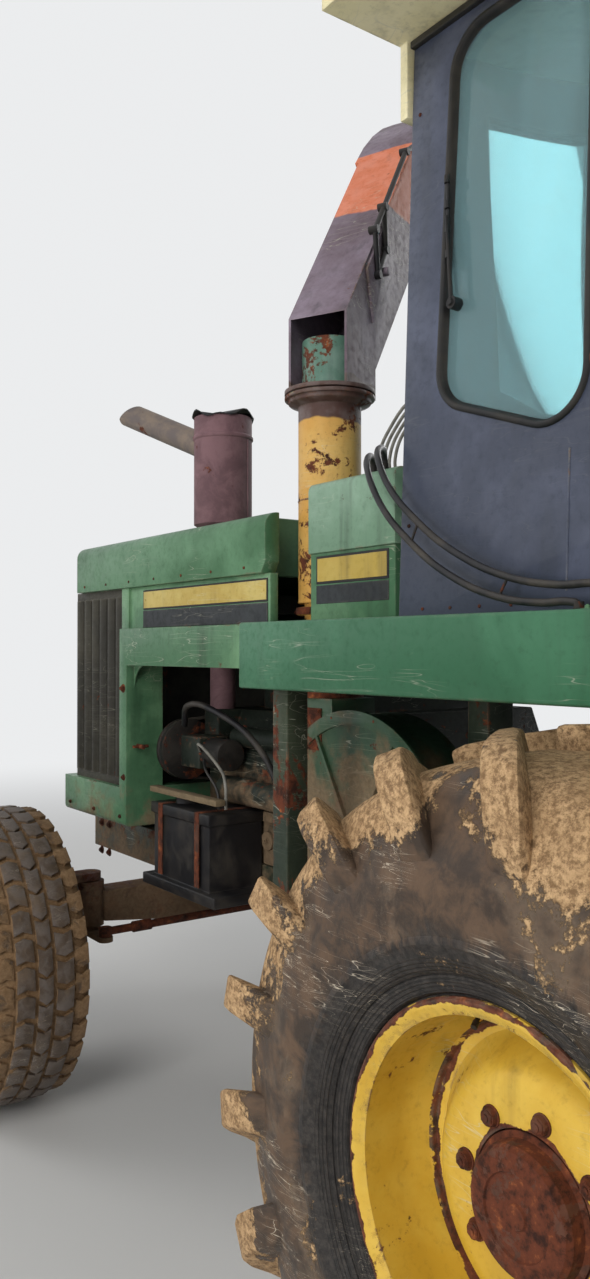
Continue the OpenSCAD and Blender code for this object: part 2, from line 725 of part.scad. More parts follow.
// End flap: a top plate and two cheeks that turn on pins of the chute
module at_cap() { in_spout() translate([cap_s, cap_z, 0]) children(); }
module spout_cap() {
    w = chute_w / 2 + gap;
    top = cap_drop + gap;
    color("#5a4a4c") at_cap() difference() {
        rotate([0, 0, cap_heading]) union() {
            for (side = [-w - cheek_t, w]) translate([0, 0, side]) linear_extrude(cheek_t)
                polygon([[-40, -40], [-40, 30], [cap_back, top], [cap_len, top], [cap_len, top - 95],
                         [cap_len / 2, top - 150], [40, cap_drop - chute_d1 - 5]]);
            translate([cap_back, top, -w - cheek_t]) cube([cap_len - cap_back, cheek_t,
                2 * (w + cheek_t)]);
            // stiffening strip across the lip
            translate([cap_len - 40, top + cheek_t, -w - cheek_t]) cube([40, cheek_t, 2 * (w + cheek_t)]);
        }
        cylinder(h = 4 * w, r = cap_pin + pin_gap, center = true);
    }
}

module exhaust_stack() {
    cone = 40;
    color("#6d4a48") {
        difference() {
            union() {
                translate([stack_x, stack_y, 0]) rotate_extrude() polygon([[0, engine_z1],
                    [stack_pipe_r, engine_z1],
                    [stack_pipe_r, stack_z0 - cone], [stack_r, stack_z0], [stack_r, stack_top - 90],
                        [stack_r + 5, stack_top - 85],
                    [stack_r + 5, stack_top - 75], [stack_r, stack_top - 70], [stack_r, stack_top],
                        [0, stack_top]]);
                outlet() cylinder(h = 560, r = stack_pipe_r);
            }
            // open slanted end of the outlet
            outlet() translate([0, 0, stack_r + 30]) cylinder(h = 560, r = stack_pipe_r - 5);
            outlet() translate([0, 0, 540]) rotate([0, 35, 0]) translate([-stack_r, -stack_r,
                0]) cube([2 * stack_r, 2 * stack_r, stack_r]);
        }
    }
}
module outlet() { translate([stack_x, stack_y, 2480]) rotate([0, -66, 20]) children(); }

// Platform and cab

module platform() {
    y1 = deck_w / 2;
    z0 = deck_top - beam_h;
    color("#3f7d4e") {
        difference() {
            block([deck_x0, -y1, z0], [deck_x1, y1, deck_top]);
            block([deck_x0 + skin, -y1 + skin, z0 + skin], [deck_x1 - skin, y1 - skin,
                deck_top - deck_t]);
            block([deck_x0 + lip_w, -y1 + lip_w, z0 - cut], [deck_x1 - lip_w, y1 - lip_w, z0 + 2 * skin]);
        }
        // ribs under the deck, clear of the tyres
        for (y = [-rail_y + rail_w + 60, rail_y - rail_w - 60])
            block([deck_x0 + skin, y - sheet, deck_top - deck_t - 60],
                [deck_x1 - skin, y + sheet, deck_top - deck_t]);
    }
}

module ladder() {
    w = ladder_w / 2;
    color("#3f7d4e") {
        for (y = [-w - stringer_t, w]) side_sheet(ladder_y + y, ladder_y + y + stringer_t)
            polygon([[deck_x1, deck_top], [deck_x1, ladder_z0 + 60], [deck_x1 + 20, ladder_z0],
                     [deck_x1 + ladder_d, ladder_z0],
                     [deck_x1 + ladder_d, deck_top - 60], [deck_x1 + 20, deck_top]]);
        // treads with a raised lip in front and behind
        for (i = [0 : rungs - 1]) side_sheet(ladder_y - w, ladder_y + w)
            let (x = deck_x1, z = ladder_z0 + tread_t + i * rung_pitch)
            polygon([[x, z], [x + ladder_d, z], [x + ladder_d, z + tread_t],
                     [x + ladder_d - sheet, z + tread_t],
                     [x + ladder_d - sheet, z + 2 * sheet], [x + sheet, z + 2 * sheet],
                         [x + sheet, z + tread_t], [x, z + tread_t]]);
    }
}

// A hand rail that rises from the deck, bends and comes down again, seen from the side
module hoop(len, h) {
    r = 80;
    cylinder(h = h - r, r = tube_r);
    translate([0, 0, h - r]) elbow(r, tube_r);
    translate([r, 0, h]) rotate([0, 90, 0]) cylinder(h = len - 2 * r, r = tube_r);
    translate([len, 0, h - r]) mirror([1, 0, 0]) elbow(r, tube_r);
    translate([len, 0, 0]) cylinder(h = h - r, r = tube_r);
}
module handrails() {
    color("#35523a") {
        translate([cab_x1 - 340, deck_w / 2 - 60, deck_top]) hoop(460, 850);
        translate([-150, hose_y - 50, deck_top]) cylinder(h = 520, r = tube_r);
    }
}

// Front of the cab as a function of height above its floor
function front_x(z) = z < knee_z ? cab_len - sill_front * (1 - z / knee_z)
                                 : cab_len - sill_front * (z - knee_z) / (cab_h - knee_z);

module cab_profile(t = 0) {
    polygon([[t, t], [front_x(t) - t, t], [front_x(knee_z) - t, knee_z],
             [front_x(cab_h) - t, cab_h + t * 2], [t, cab_h + t * 2]]);
}
module cab_section(t = 0) {
    w = cab_w / 2 - t;
    polygon([[-w, t], [w, t], [w - cab_lean, cab_h + t * 2], [-w + cab_lean, cab_h + t * 2]]);
}
module cab_form(t = 0) {
    intersection() {
        translate([cab_x0, cab_w, cab_z0]) rotate([90, 0, 0]) linear_extrude(2 * cab_w) cab_profile(t);
        translate([cab_x0 - skin, 0, cab_z0]) rotate([90, 0,
            90]) linear_extrude(cab_len + 2 * skin) cab_section(t);
    }
}

// Plane of the left side wall: X forwards and Y up the leaning wall, zero at its outer face
module on_left_wall() {
    translate([cab_x0, cab_w / 2, cab_z0]) rotate([atan(cab_lean / cab_h), 0, 0]) rotate([90, 0,
        0]) children();
}
quarter_x0 = 130;
quarter_x1 = 590;
window_z0 = 395;
window_z1 = cab_h - 60;
door_x0 = 665;
door_x1 = cab_len - 165;
door_z0 = 60;
door_z1 = cab_h - 50;
door_t = 35;
pane_in = 14;         // outer face of a pane inside the wall's face
module rounded(r) { offset(r = r) offset(delta = -r) children(); }
module quarter_window(grow = 0) {
    offset(delta = grow) rounded(window_r)
        polygon([[quarter_x0, window_z0 + 165], [quarter_x1, window_z0], [quarter_x1, window_z1],
                 [quarter_x0 + 25, window_z1]]);
}
module front_window(grow = 0) {
    offset(delta = grow) rounded(window_r)
        polygon([[door_x0 + 65, window_z0], [cab_len - 130, window_z0],
                 [front_x(cab_h - 90) - 110, window_z1 - 10], [door_x0 + 65, window_z1 - 10]]);
}
module door_outline(grow = 0) {
    translate([door_x0 - grow, door_z0 - grow]) square([door_x1 - door_x0 + 2 * grow,
        door_z1 - door_z0 + 2 * grow]);
}
module door_pane(grow) {
    offset(delta = grow) rounded(window_r - 30)
        polygon([[door_x0 + 90, knee_z], [door_x1 - 80, knee_z], [door_x1 - 80, door_z1 - 80],
                 [door_x0 + 90, door_z1 - 80]]);
}

// Strip along the windscreen, from d0 to d1 behind the front face
module front_strip(d0, d1, z0, z1, y) {
    translate([cab_x0, y, cab_z0]) rotate([90, 0, 0]) linear_extrude(2 * y)
        polygon([[front_x(z0) - d0, z0], [front_x(z0) - d1, z0], [front_x(z1) - d1, z1],
                 [front_x(z1) - d0, z1]]);
}
screen_y = cab_w / 2 - 110;
screen_z0 = knee_z + 10;
screen_z1 = cab_h - 90;
rear_y = 500;
rear_z0 = 700;
rear_z1 = cab_h - 140;

// Axis of the door's hinge, z up the wall and -Y outwards
module at_hinge(z) { translate([door_x0 + 10, z, -hinge_out]) rotate([-90, 0, 0]) children(); }

module cab_shell() {
    through = cab_wall + 60;
    lug = 10;
    color("#4a4e5c") {
        difference() {
            cab_form();
            cab_form(cab_wall);
            both_sides() on_left_wall() translate([0, 0, -30]) linear_extrude(through) quarter_window();
            mirror([0, 1, 0]) on_left_wall() translate([0, 0,
                -30]) linear_extrude(through) front_window();
            on_left_wall() translate([0, 0, -30]) linear_extrude(through) door_outline(gap);
            front_strip(-20, 3 * cab_wall, screen_z0, screen_z1, screen_y);
            block([cab_x0 - skin, -rear_y, cab_z0 + rear_z0], [cab_x0 + 3 * cab_wall, rear_y,
                cab_z0 + rear_z1]);
        }
        // lugs that hold the pins of the door
        for (z = hinge_z, end = [-gap - lug,
            hinge_h + gap]) on_left_wall() at_hinge(z + end) difference() {
            union() {
                cylinder(h = lug, r = hinge_r);
                translate([-50, -hinge_r, 0]) cube([50, 2 * hinge_r, lug]);
                translate([-50, -hinge_out - 2, 0]) cube([32, hinge_out + 2, lug]);
            }
            translate([0, 0, -cut]) cylinder(h = lug + 2 * cut, r = hinge_pin + pin_gap);
        }
    }
}

module cab_roof() {
    x0 = cab_x0 - 40;
    x1 = cab_x1 + 100;
    top = cab_z1 + roof_h;
    color("#b8ad5a") {
        // crowned roof with sloping sides and a visor in front
        intersection() {
            side_sheet(-roof_y, roof_y) polygon([[x0, cab_z1], [x1 - 60, cab_z1], [x1, cab_z1 + 20],
                                                 [x1, cab_z1 + roof_edge],
                [x1 - 90, top - 25], [x1 - 300, top], [x0 + 160, top], [x0 + 50, top - 20],
                    [x0, cab_z1 + roof_edge]]);
            cross_sheet(x0, x1) polygon([[-roof_y, cab_z1], [roof_y, cab_z1],
                                         [roof_y, cab_z1 + roof_edge],
                [roof_y - roof_cove, top - 25], [roof_y - 2 * roof_cove, top],
                    [-roof_y + 2 * roof_cove, top],
                [-roof_y + roof_cove, top - 25], [-roof_y, cab_z1 + roof_edge]]);
        }
        // upright at the right rear corner
        block([cab_x0 - 36, -cab_w / 2 + 40, cab_z1 - 205], [cab_x0 - 8, -cab_w / 2 + 88, cab_z1]);
    }
}

module cab_glass() {
    color("#7fa8a8", 0.4) {
        both_sides() on_left_wall() translate([0, 0,
            pane_in]) linear_extrude(glass_t) quarter_window(-seat_gap);
        mirror([0, 1, 0]) on_left_wall() translate([0, 0,
            pane_in]) linear_extrude(glass_t) front_window(-seat_gap);
        front_strip(pane_in, pane_in + glass_t, screen_z0 + seat_gap, screen_z1 - seat_gap,
            screen_y - seat_gap);
        block([cab_x0 + pane_in, -rear_y + seat_gap, cab_z0 + rear_z0 + seat_gap],
              [cab_x0 + pane_in + glass_t, rear_y - seat_gap, cab_z0 + rear_z1 - seat_gap]);
    }
}

module seat() {
    floor = cab_z0 + cab_wall;
    color("#2c2c2e") {
        block([-300, -150, floor], [50, 150, floor + 130]);
        side_sheet(-240, 240) polygon([[-340, floor + 130], [80, floor + 130], [120, floor + 200],
                                       [100, floor + 260],
            [-290, floor + 235], [-380, floor + 840], [-420, floor + 860], [-480, floor + 830],
                [-390, floor + 190]]);
        both_sides() block([-330, 245, floor + 380], [0, 305, floor + 430]);
        both_sides() block([-340, 240, floor + 330], [-290, 305, floor + 390]);
    }
}

module control_console() {
    floor = cab_z0 + cab_wall;
    color("#3a3a3c") {
        side_sheet(-650, -370) polygon([[-300, floor], [260, floor], [260, floor + 430],
                                        [210, floor + 520], [-240, floor + 570], [-300, floor + 520]]);
        // steering column and wheel
        side_sheet(-60, 60) polygon([[400, floor], [500, floor], [330, floor + 640], [270, floor + 620]]);
        translate([300, 0, floor + 650]) rotate([0, -22, 0]) {
            rotate_extrude() translate([190, 0]) circle(r = 14, $fn = 16);
            for (a = [0, 120, 240]) rotate([0, 0, a]) translate([0, -12, -6]) cube([190, 24, 12]);
            translate([0, 0, -40]) cylinder(h = 55, r = 40);
        }
    }
}

module work_lamps() {
    color("#d8d8c8") both_sides() for (y = [330, 620]) translate([cab_x1 - 60, y, cab_z1 - 62]) {
        rotate([0, 90, 0]) rotate_extrude() polygon([[0, 0], [25, 0], [52, 35], [52, 60], [44, 60],
                                                     [44, 56], [0, 56]]);
        block([5, -8, 20], [25, 8, 62]);
    }
}

// Mirrors on arms below the roof's front corners
module mirrors() {
    x = cab_x1 - 90;
    z = cab_z1 - 560;
    color("#303030") both_sides() {
        translate([x, roof_y - 30, z + 60]) cylinder(h = 500, r = 10);
        along_y(x, roof_y - 30, roof_y + 90, z + 60, 10);
        cross_sheet(x - 22, x + 10) polygon(concat(arc([roof_y + 155, z + 25],
            25, 270, 360, 4), arc([roof_y + 155, z + 335], 25, 0, 90, 4),
            arc([roof_y + 25, z + 335], 25, 90, 180, 4), arc([roof_y + 25, z + 25], 25, 180, 270, 4)));
    }
}

module cab_door() {
    lug = 10;
    color("#4a4e5c") on_left_wall() {
        difference() {
            linear_extrude(door_t) door_outline();
            translate([0, 0, -cut]) linear_extrude(door_t + 2 * cut) door_pane(0);
        }
        // hinge barrels, their pins and straps
        for (z = hinge_z) at_hinge(z) {
            cylinder(h = hinge_h, r = hinge_r);
            translate([0, 0, -gap - lug]) cylinder(h = hinge_h + 2 * (gap + lug), r = hinge_pin);
            translate([0, -hinge_out, 0]) cube([40, hinge_out + 6, hinge_h]);
        }
        // grip near the free edge
        translate([door_x1 - 60, 300, -38]) cube([18, 150, 10]);
        for (z = [300, 435]) translate([door_x1 - 60, z, -38]) cube([18, 15, 38]);
    }
}
module door_glass() {
    color("#7fa8a8", 0.4) on_left_wall() translate([0, 0,
        pane_in]) linear_extrude(glass_t) door_pane(-seat_gap);
}

// Hoses that hang beside the cab
module hoses() {
    color("#1f1f22") {
        swept_tube(hose_up, hose_r);
        swept_tube(hose_low, hose_r);
    }
}

// Wheels

// Section of a tyre: bead, sidewall, shoulder and the crown below its tread
module tyre_section(r, w, rim_r, rim_w, tread) {
    bw = rim_w / 2 - flange_t - seat_gap;
    rise = r - rim_r;
    half = [[rim_r - bead_h, bw], [rim_r + 3, bw], [rim_r + 20, bw + 12], [rim_r + 0.33 * rise, 0.49 * w],
            [rim_r + 0.6 * rise, 0.5 * w], [r - 1.9 * tread, 0.45 * w], [r - tread, 0.22 * w]];
    polygon(concat(half, [for (i = [len(half) - 1 : -1 : 0]) [half[i][0], -half[i][1]]]));
}

// A slanting lug from the middle of the crown down over the shoulder. Each row of the table is
// the foot's radius and place across the tyre, the same for the top, the angle round the wheel
// and half the angle that the lug fills.
module lug(r, w, h) {
    rows = [[r - 1.6 * h, -0.02 * w, r, -0.02 * w, 0.5, 1.9],
            [r - 1.7 * h, 0.24 * w, r - 5, 0.25 * w, -9, 2.5],
            [r - 2.6 * h, 0.36 * w, r - 0.65 * h, 0.44 * w, -15.5, 2.9],
            [r - 4 * h, 0.45 * w, r - 2.9 * h, 0.508 * w, -18.5, 3.1]];
    pts = [for (row = rows, top = [0, 1], edge = [-1, 1])
           let (q = row[top * 2], a = row[4] + edge * row[5] * (top == 1 ? 0.85 : 1.15))
           [q * cos(a), q * sin(a), row[top * 2 + 1]]];
    ring = [0, 1, 3, 2];
    sides = [for (k = [0 : len(rows) - 2], e = [0 : 3]) let (a = ring[e], b = ring[(e + 1) % 4])
             [4 * k + b, 4 * k + 4 + b, 4 * k + 4 + a, 4 * k + a]];
    last = 4 * (len(rows) - 1);
    polyhedron(points = pts, faces = concat(sides, [[ring[3], ring[2], ring[1], ring[0]]],
               [[for (e = [0 : 3]) last + ring[e]]]), convexity = 2);
}

lug_phase = 2.5;      // degrees by which the lugs stand past the casing's facet edges
// Drive tyre: two rows of lugs that meet in the middle, half a pitch apart
module drive_tyre(s) {
    color("#3a3733") translate([0, s * drive_track / 2, drive_z]) rotate([90, 0, 0]) {
        rotate_extrude($fn = 2 * lugs) tyre_section(drive_tyre_r, drive_tyre_w, drive_rim_r,
            drive_rim_w, lug_h);
        for (side = [0, 1], i = [0 : lugs - 1]) mirror([0, 0, side])
            rotate([0, 0, lug_phase + (i + side / 2) * 360 / lugs]) lug(drive_tyre_r, drive_tyre_w,
                lug_h);
    }
}

// Steered tyre: a plain band round the middle and a row of blocks on each shoulder
module steer_tyre(s) {
    r = steer_tyre_r;
    w = steer_tyre_w;
    tread = 16;
    blocks = 2 * lugs;
    color("#3a3733") translate([-wheelbase, s * steer_track / 2, r]) rotate([90, 0, 0]) {
        rotate_extrude($fn = 2 * lugs) tyre_section(r, w, steer_rim_r, steer_rim_w, tread);
        rotate_extrude($fn = 2 * lugs) translate([r - 2 * tread, -0.14 * w]) square([2 * tread,
            0.28 * w]);
        for (side = [-1, 1], i = [0 : blocks - 1]) rotate([0, 0, (i + side / 4) * 360 / blocks])
            translate([r - 2.5 * tread, -0.08 * w, (side * 0.29 - 0.11) * w]) cube([2.5 * tread - 4,
                0.16 * w, 0.22 * w]);
    }
}

drive_dish_z = 70;    // disc, hub and bore planes outside the middle of a drive rim
steer_dish_z = 0;
// Rim seen from outside: barrel with a well and flanges, dished disc and a hub with a blind bore
module rim(x, y, z, s, r, w, disc_z, hub_z, hub_r, bore_z0, bore_z1, bore_r, cap_z) {
    rb = r - bead_h - seat_gap;
    ri = rb - 12;
    well = 26;
    color("#b8952f") mirror([0, s > 0 ? 1 : 0, 0]) translate([x, -y, z]) rotate([90, 0, 0]) difference() {
        rotate_extrude($fn = 2 * lugs) polygon([[ri, -w / 2], [r - 5, -w / 2], [r, -w / 2 + 5],
                                                [r, -w / 2 + flange_t], [rb, -w / 2 + flange_t],
            [rb, -w / 4], [rb - well, -w / 5], [rb - well, w / 8], [rb, w / 5],
            [rb, w / 2 - flange_t], [r, w / 2 - flange_t], [r, w / 2 - 5], [r - 5, w / 2], [ri, w / 2],
            [ri, w / 5 + 4], [ri - well, w / 8 + 4], [ri - well, disc_z + 10],
                [ri - 2 * well, disc_z + 12],
            [hub_r + 40, hub_z], [hub_r - 20, hub_z], [hub_r - 30, cap_z - 14], [hub_r - 55, cap_z],
                [0, cap_z], [0, bore_z0],
            [hub_r, bore_z0], [hub_r, hub_z - 14], [hub_r + 36, hub_z - 14],
                [ri - 2 * well, disc_z - 4], [ri - well, disc_z - 6],
            [ri - well, -w / 5 - 4], [ri, -w / 4 - 4]]);
        translate([0, 0, bore_z0 - cut]) cylinder(h = bore_z1 - bore_z0 + cut, r = bore_r + pin_gap);
    }
}
module drive_rim(s) {
    z0 = drive_dish_z;
    rim(0, drive_track / 2, drive_z, s, drive_rim_r, drive_rim_w, z0, z0 + 80, hub_r + 15, z0 - 14,
        z0 + 33, drive_stub_r, z0 + 120);
}
module steer_rim(s) {
    z0 = steer_dish_z;
    rim(-wheelbase, steer_track / 2, steer_tyre_r, s, steer_rim_r, steer_rim_w, z0, z0 + 20,
        2 * steer_stub_r, z0 - 80, z0 + 10, steer_stub_r, z0 + 50);
}

// Steering knuckle: kingpin in a yoke, hub stub outside and the arm in front
module knuckle(s) {
    reach = steer_track / 2 - king_y;
    back = 110;
    color("#2f4a33") mirror([0, s > 0 ? 1 : 0, 0]) translate([-wheelbase, -king_y, 0]) {
        translate([0, 0, boss_z0 - yoke_t - gap]) cylinder(h = boss_z1 - boss_z0 + 2 * (yoke_t + gap),
            r = king_r);
        for (z = [boss_z0 - yoke_t - gap, boss_z1 + gap]) {
            block([-arm_w * 0.75, -back, z], [arm_w * 0.75, 0, z + yoke_t]);
            translate([0, 0, z]) cylinder(h = yoke_t, r = arm_w * 0.75);
        }
        block([-arm_w * 0.75, -back, steer_tyre_r - 60], [arm_w * 0.75, -back + 40,
            boss_z1 + gap + yoke_t]);
        along_y(0, -reach - 5, -back, steer_tyre_r, steer_stub_r);
        along_y(0, -reach + 90, -back, steer_tyre_r, steer_stub_r + 15);
        // steering arm
        block([arm_w * 0.7, -arm_w / 2, boss_z0 - yoke_t - gap],
            [arm_r, arm_w / 2, boss_z0 - yoke_t - gap + arm_t]);
        translate([arm_r, 0, boss_z0 - yoke_t - gap]) cylinder(h = arm_t, r = arm_w / 2);
    }
}

module tie_rod() {
    z = boss_z0 - yoke_t - gap + arm_t + seat_gap;
    x = -wheelbase + arm_r;
    color("#5a5a55") {
        along_y(x, -king_y, king_y, z + 18, 16);
        both_sides() translate([x, king_y, z]) cylinder(h = 36, r = 26);
        both_sides() along_y(x, king_y - 200, king_y - 120, z + 18, 22);
    }
}

// Intake

module cutterhead_housing() {
    hw = head_w / 2;
    color("#33502f") difference() {
        union() {
            along_y(head_x, -hw, hw, head_z, head_r);
            side_sheet(-hw, hw) polygon([[rail_x1, rail_top - 100], [head_x, rail_top - 100],
                                         [head_x, head_z + head_r],
                [head_x - 120, head_z + head_r], [rail_x1, head_z + head_r - 60]]);
            along_y(head_x, -hw - 35, hw + 35, head_z, trunnion_r);
        }
        // mouth towards the feed rolls
        block([head_x + 200, -throat_w / 2, feeder_z0 + 120], [head_x + head_r + cut, throat_w / 2,
            feeder_z0 + 380]);
    }
}

module feeder_house() {
    hw = throat_w / 2;
    ear0 = head_w / 2 + gap;
    ear1 = ear0 + ear_t;
    lap = frame_lap;
    color("#3f7d4e") difference() {
        union() {
            // floor, roof and side walls, the roof sloping down towards the cutterhead
            side_sheet(-hw - side_t, hw + side_t) polygon([[feeder_x0, feeder_z0 + 40],
                                                           [feeder_x0 + 60, feeder_z0],
                [x_front - frame_t, feeder_z0], [x_front - frame_t, throat_z1 + 20],
                    [feeder_x0, throat_z1 + 20]]);
            // header frame round the throat
            block([x_front - frame_t, -frame_y, throat_z0 - lap], [x_front, frame_y, throat_z1 + lap]);
            both_sides() {
                side_sheet(ear0, ear1) polygon([[head_x, head_z - 90], [x_front - frame_t, head_z - 150],
                    [x_front - frame_t, throat_z1 + 50], [head_x + 200, head_z + 90],
                        [head_x, head_z + 90]]);
                along_y(head_x, ear0, ear1, head_z, 90);
                block([feeder_x0, hw, head_z - 60], [x_front - frame_t, ear0 + cut, head_z - 20]);
                // ribs that stiffen the side walls
                for (x = [feeder_x0 + 110, x_front - frame_t - 120])
                    block([x, hw + side_t - cut, feeder_z0 + 20], [x + sheet, ear0 + cut, head_z - 60]);
                // lugs of the lift cylinders
                side_sheet(hw, hw + side_t) polygon([[lift_x1 - 2 * lift_eye_r, feeder_z0],
                                                     [lift_x1 - 30, lift_z1 - 20],
                    [lift_x1 + 30, lift_z1 - 20], [lift_x1 + 2 * lift_eye_r, feeder_z0]]);
                along_y(lift_x1, hw, lift_y - 22, lift_z1, 30);
            }
            // hooks on top of the header frame
            both_sides() side_sheet(bolt_y - 150, bolt_y - 110) polygon([[x_front - frame_t,
                throat_z1 + lap],
                [x_front - frame_t, throat_z1 + lap + 90], [x_front - 10, throat_z1 + lap + 90],
                    [x_front - 14, throat_z1 + lap]]);
        }
        block([feeder_x0 - cut, -hw, throat_z0], [x_front + cut, hw, throat_z1]);
        both_sides() along_y(head_x, ear0 - cut, ear1 + cut, head_z, trunnion_r + pin_gap);
        for (y = [-bolt_y, bolt_y]) for (z = [throat_z0 - bolt_lap, throat_z1 + bolt_lap])
            along_x(x_front - frame_t - cut, x_front + cut, y, z, bolt_r);
        for (z = [roll_z_low, roll_z_up]) along_y(roll_x, -hw - side_t - cut, hw + side_t + cut, z,
            roll_pin + pin_gap);
    }
}

module feed_roll(z) {
    hw = throat_w / 2;
    color("#7a6a55") translate([roll_x, 0, z]) {
        along_y(0, -hw + gap, hw - gap, 0, roll_r - 25);
        along_y(0, -hw - side_t, hw + side_t, 0, roll_pin);
        for (i = [0 : roll_bars - 1]) rotate([0, i * 360 / roll_bars, 0]) side_sheet(-hw + 20, hw - 20)
            polygon([[roll_r - 35, -12], [roll_r, -3], [roll_r, 3], [roll_r - 35, 12]]);
    }
}

lift_a = atan2(lift_z0 - lift_z1, lift_x1 - lift_x0);
lift_len = norm([lift_x1 - lift_x0, lift_z1 - lift_z0]);
module on_lift() { translate([lift_x0, 0, lift_z0]) rotate([0, lift_a, 0]) children(); }
module lift_barrels() {
    color("#3f7d4e") on_lift() both_sides() translate([0, lift_y, 0]) {
        difference() {
            union() {
                along_x(50, 50 + barrel_len, 0, 0, barrel_r);
                along_x(50 + barrel_len - 30, 50 + barrel_len, 0, 0, barrel_r + 5);
                along_x(0, 60, 0, 0, 26);
                along_y(0, -29, 29, 0, lift_eye_r);
            }
            along_x(90, 90 + barrel_len, 0, 0, rod_r + pin_gap);
        }
        along_y(0, -30 - plate, 30 + plate, 0, lift_pin);
    }
}
module lift_rods() {
    start = barrel_len - rod_in;
    color("#9a9a9a") on_lift() both_sides() translate([0, lift_y, 0]) {
        along_x(start, lift_len - 20, 0, 0, rod_r);
        along_y(lift_len, -21.5, 15, 0, lift_eye_r);
    }
}

place() main_rails();
place() drawbar_plate();
place() deck_posts();
place() lift_lugs();
place() drive_axle();
place() steer_axle();
place() engine();
place() belt_drive();
place() radiator();
place() grilles();
place() bay_panels();
place() hood_roof();
place() tank_box();
place() side_boxes();
place() platform();
place() ladder();
place() handrails();
place() cab_shell();
place() cab_roof();
place() cab_glass();
place() seat();
place() control_console();
place() work_lamps();
place() mirrors();
place() blower();
place() standing_pipe();
place() exhaust_stack();
place() cutterhead_housing();
place() hoses();
place() cab_door();
place() door_glass();
place() drive_tyre(-1);  // drive_tyre_right
place() drive_rim(-1);  // drive_rim_right
place() drive_tyre(1);  // drive_tyre_left
place() drive_rim(1);  // drive_rim_left
place() steer_tyre(-1);  // steer_tyre_right
place() steer_rim(-1);  // steer_rim_right
place() steer_tyre(1);  // steer_tyre_left
place() steer_rim(1);  // steer_rim_left
place() knuckle(-1);  // knuckle_right
place() knuckle(1);  // knuckle_left
place() tie_rod();
place() spout_chute();
place() spout_cap();
place() feeder_house();
place() feed_roll(roll_z_up);  // feed_roll_upper
place() feed_roll(roll_z_low);  // feed_roll_lower
place() lift_barrels();
place() lift_rods();
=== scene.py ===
"""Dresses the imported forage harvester: paint, rust, rubber, glass, trim, light and camera."""

import json
import logging
import math
from dataclasses import dataclass, replace
from enum import Enum
from typing import Callable

import bmesh
import bpy
from mathutils import Matrix, Vector


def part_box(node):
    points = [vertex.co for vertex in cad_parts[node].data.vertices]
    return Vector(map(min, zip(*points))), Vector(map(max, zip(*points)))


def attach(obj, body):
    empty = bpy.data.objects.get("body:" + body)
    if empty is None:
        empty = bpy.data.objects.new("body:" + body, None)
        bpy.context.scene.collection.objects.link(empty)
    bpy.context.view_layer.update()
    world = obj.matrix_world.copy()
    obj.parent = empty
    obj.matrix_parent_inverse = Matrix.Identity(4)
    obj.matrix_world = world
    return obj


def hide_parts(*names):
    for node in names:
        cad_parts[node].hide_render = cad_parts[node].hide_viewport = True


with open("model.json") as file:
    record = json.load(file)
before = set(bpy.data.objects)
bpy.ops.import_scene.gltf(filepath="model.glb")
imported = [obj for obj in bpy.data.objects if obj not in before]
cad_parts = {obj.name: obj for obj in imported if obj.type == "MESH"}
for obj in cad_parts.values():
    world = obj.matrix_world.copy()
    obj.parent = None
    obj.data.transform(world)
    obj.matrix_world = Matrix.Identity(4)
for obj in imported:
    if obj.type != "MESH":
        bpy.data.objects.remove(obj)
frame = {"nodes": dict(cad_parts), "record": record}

LOG = logging.getLogger("harvester")
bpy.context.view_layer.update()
BODY_OF = {node: body for body, nodes in frame["record"]["behaviour"]["bodies"].items()
           for node in nodes}
UP = Vector((0, 0, 1))


def middle(node: str) -> Vector:
    """Gives the centre of a CAD node's box."""
    low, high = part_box(node)
    return (low + high) / 2


AXLE_X = middle("drive_rim_right").x
DECK_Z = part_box("platform")[1].z


def hue(code: str) -> tuple[float, float, float, float]:
    """Turns a colour written as on a paint chart into linear light.

    Args:
        code: Six hexadecimal digits after a hash.

    Returns:
        Red, green, blue and an alpha of one.
    """
    parts = [int(code[i:i + 2], 16) / 255 for i in (1, 3, 5)]
    linear = [c / 12.92 if c <= 0.04045 else ((c + 0.055) / 1.055) ** 2.4 for c in parts]
    return (*linear, 1.0)


# Node trees


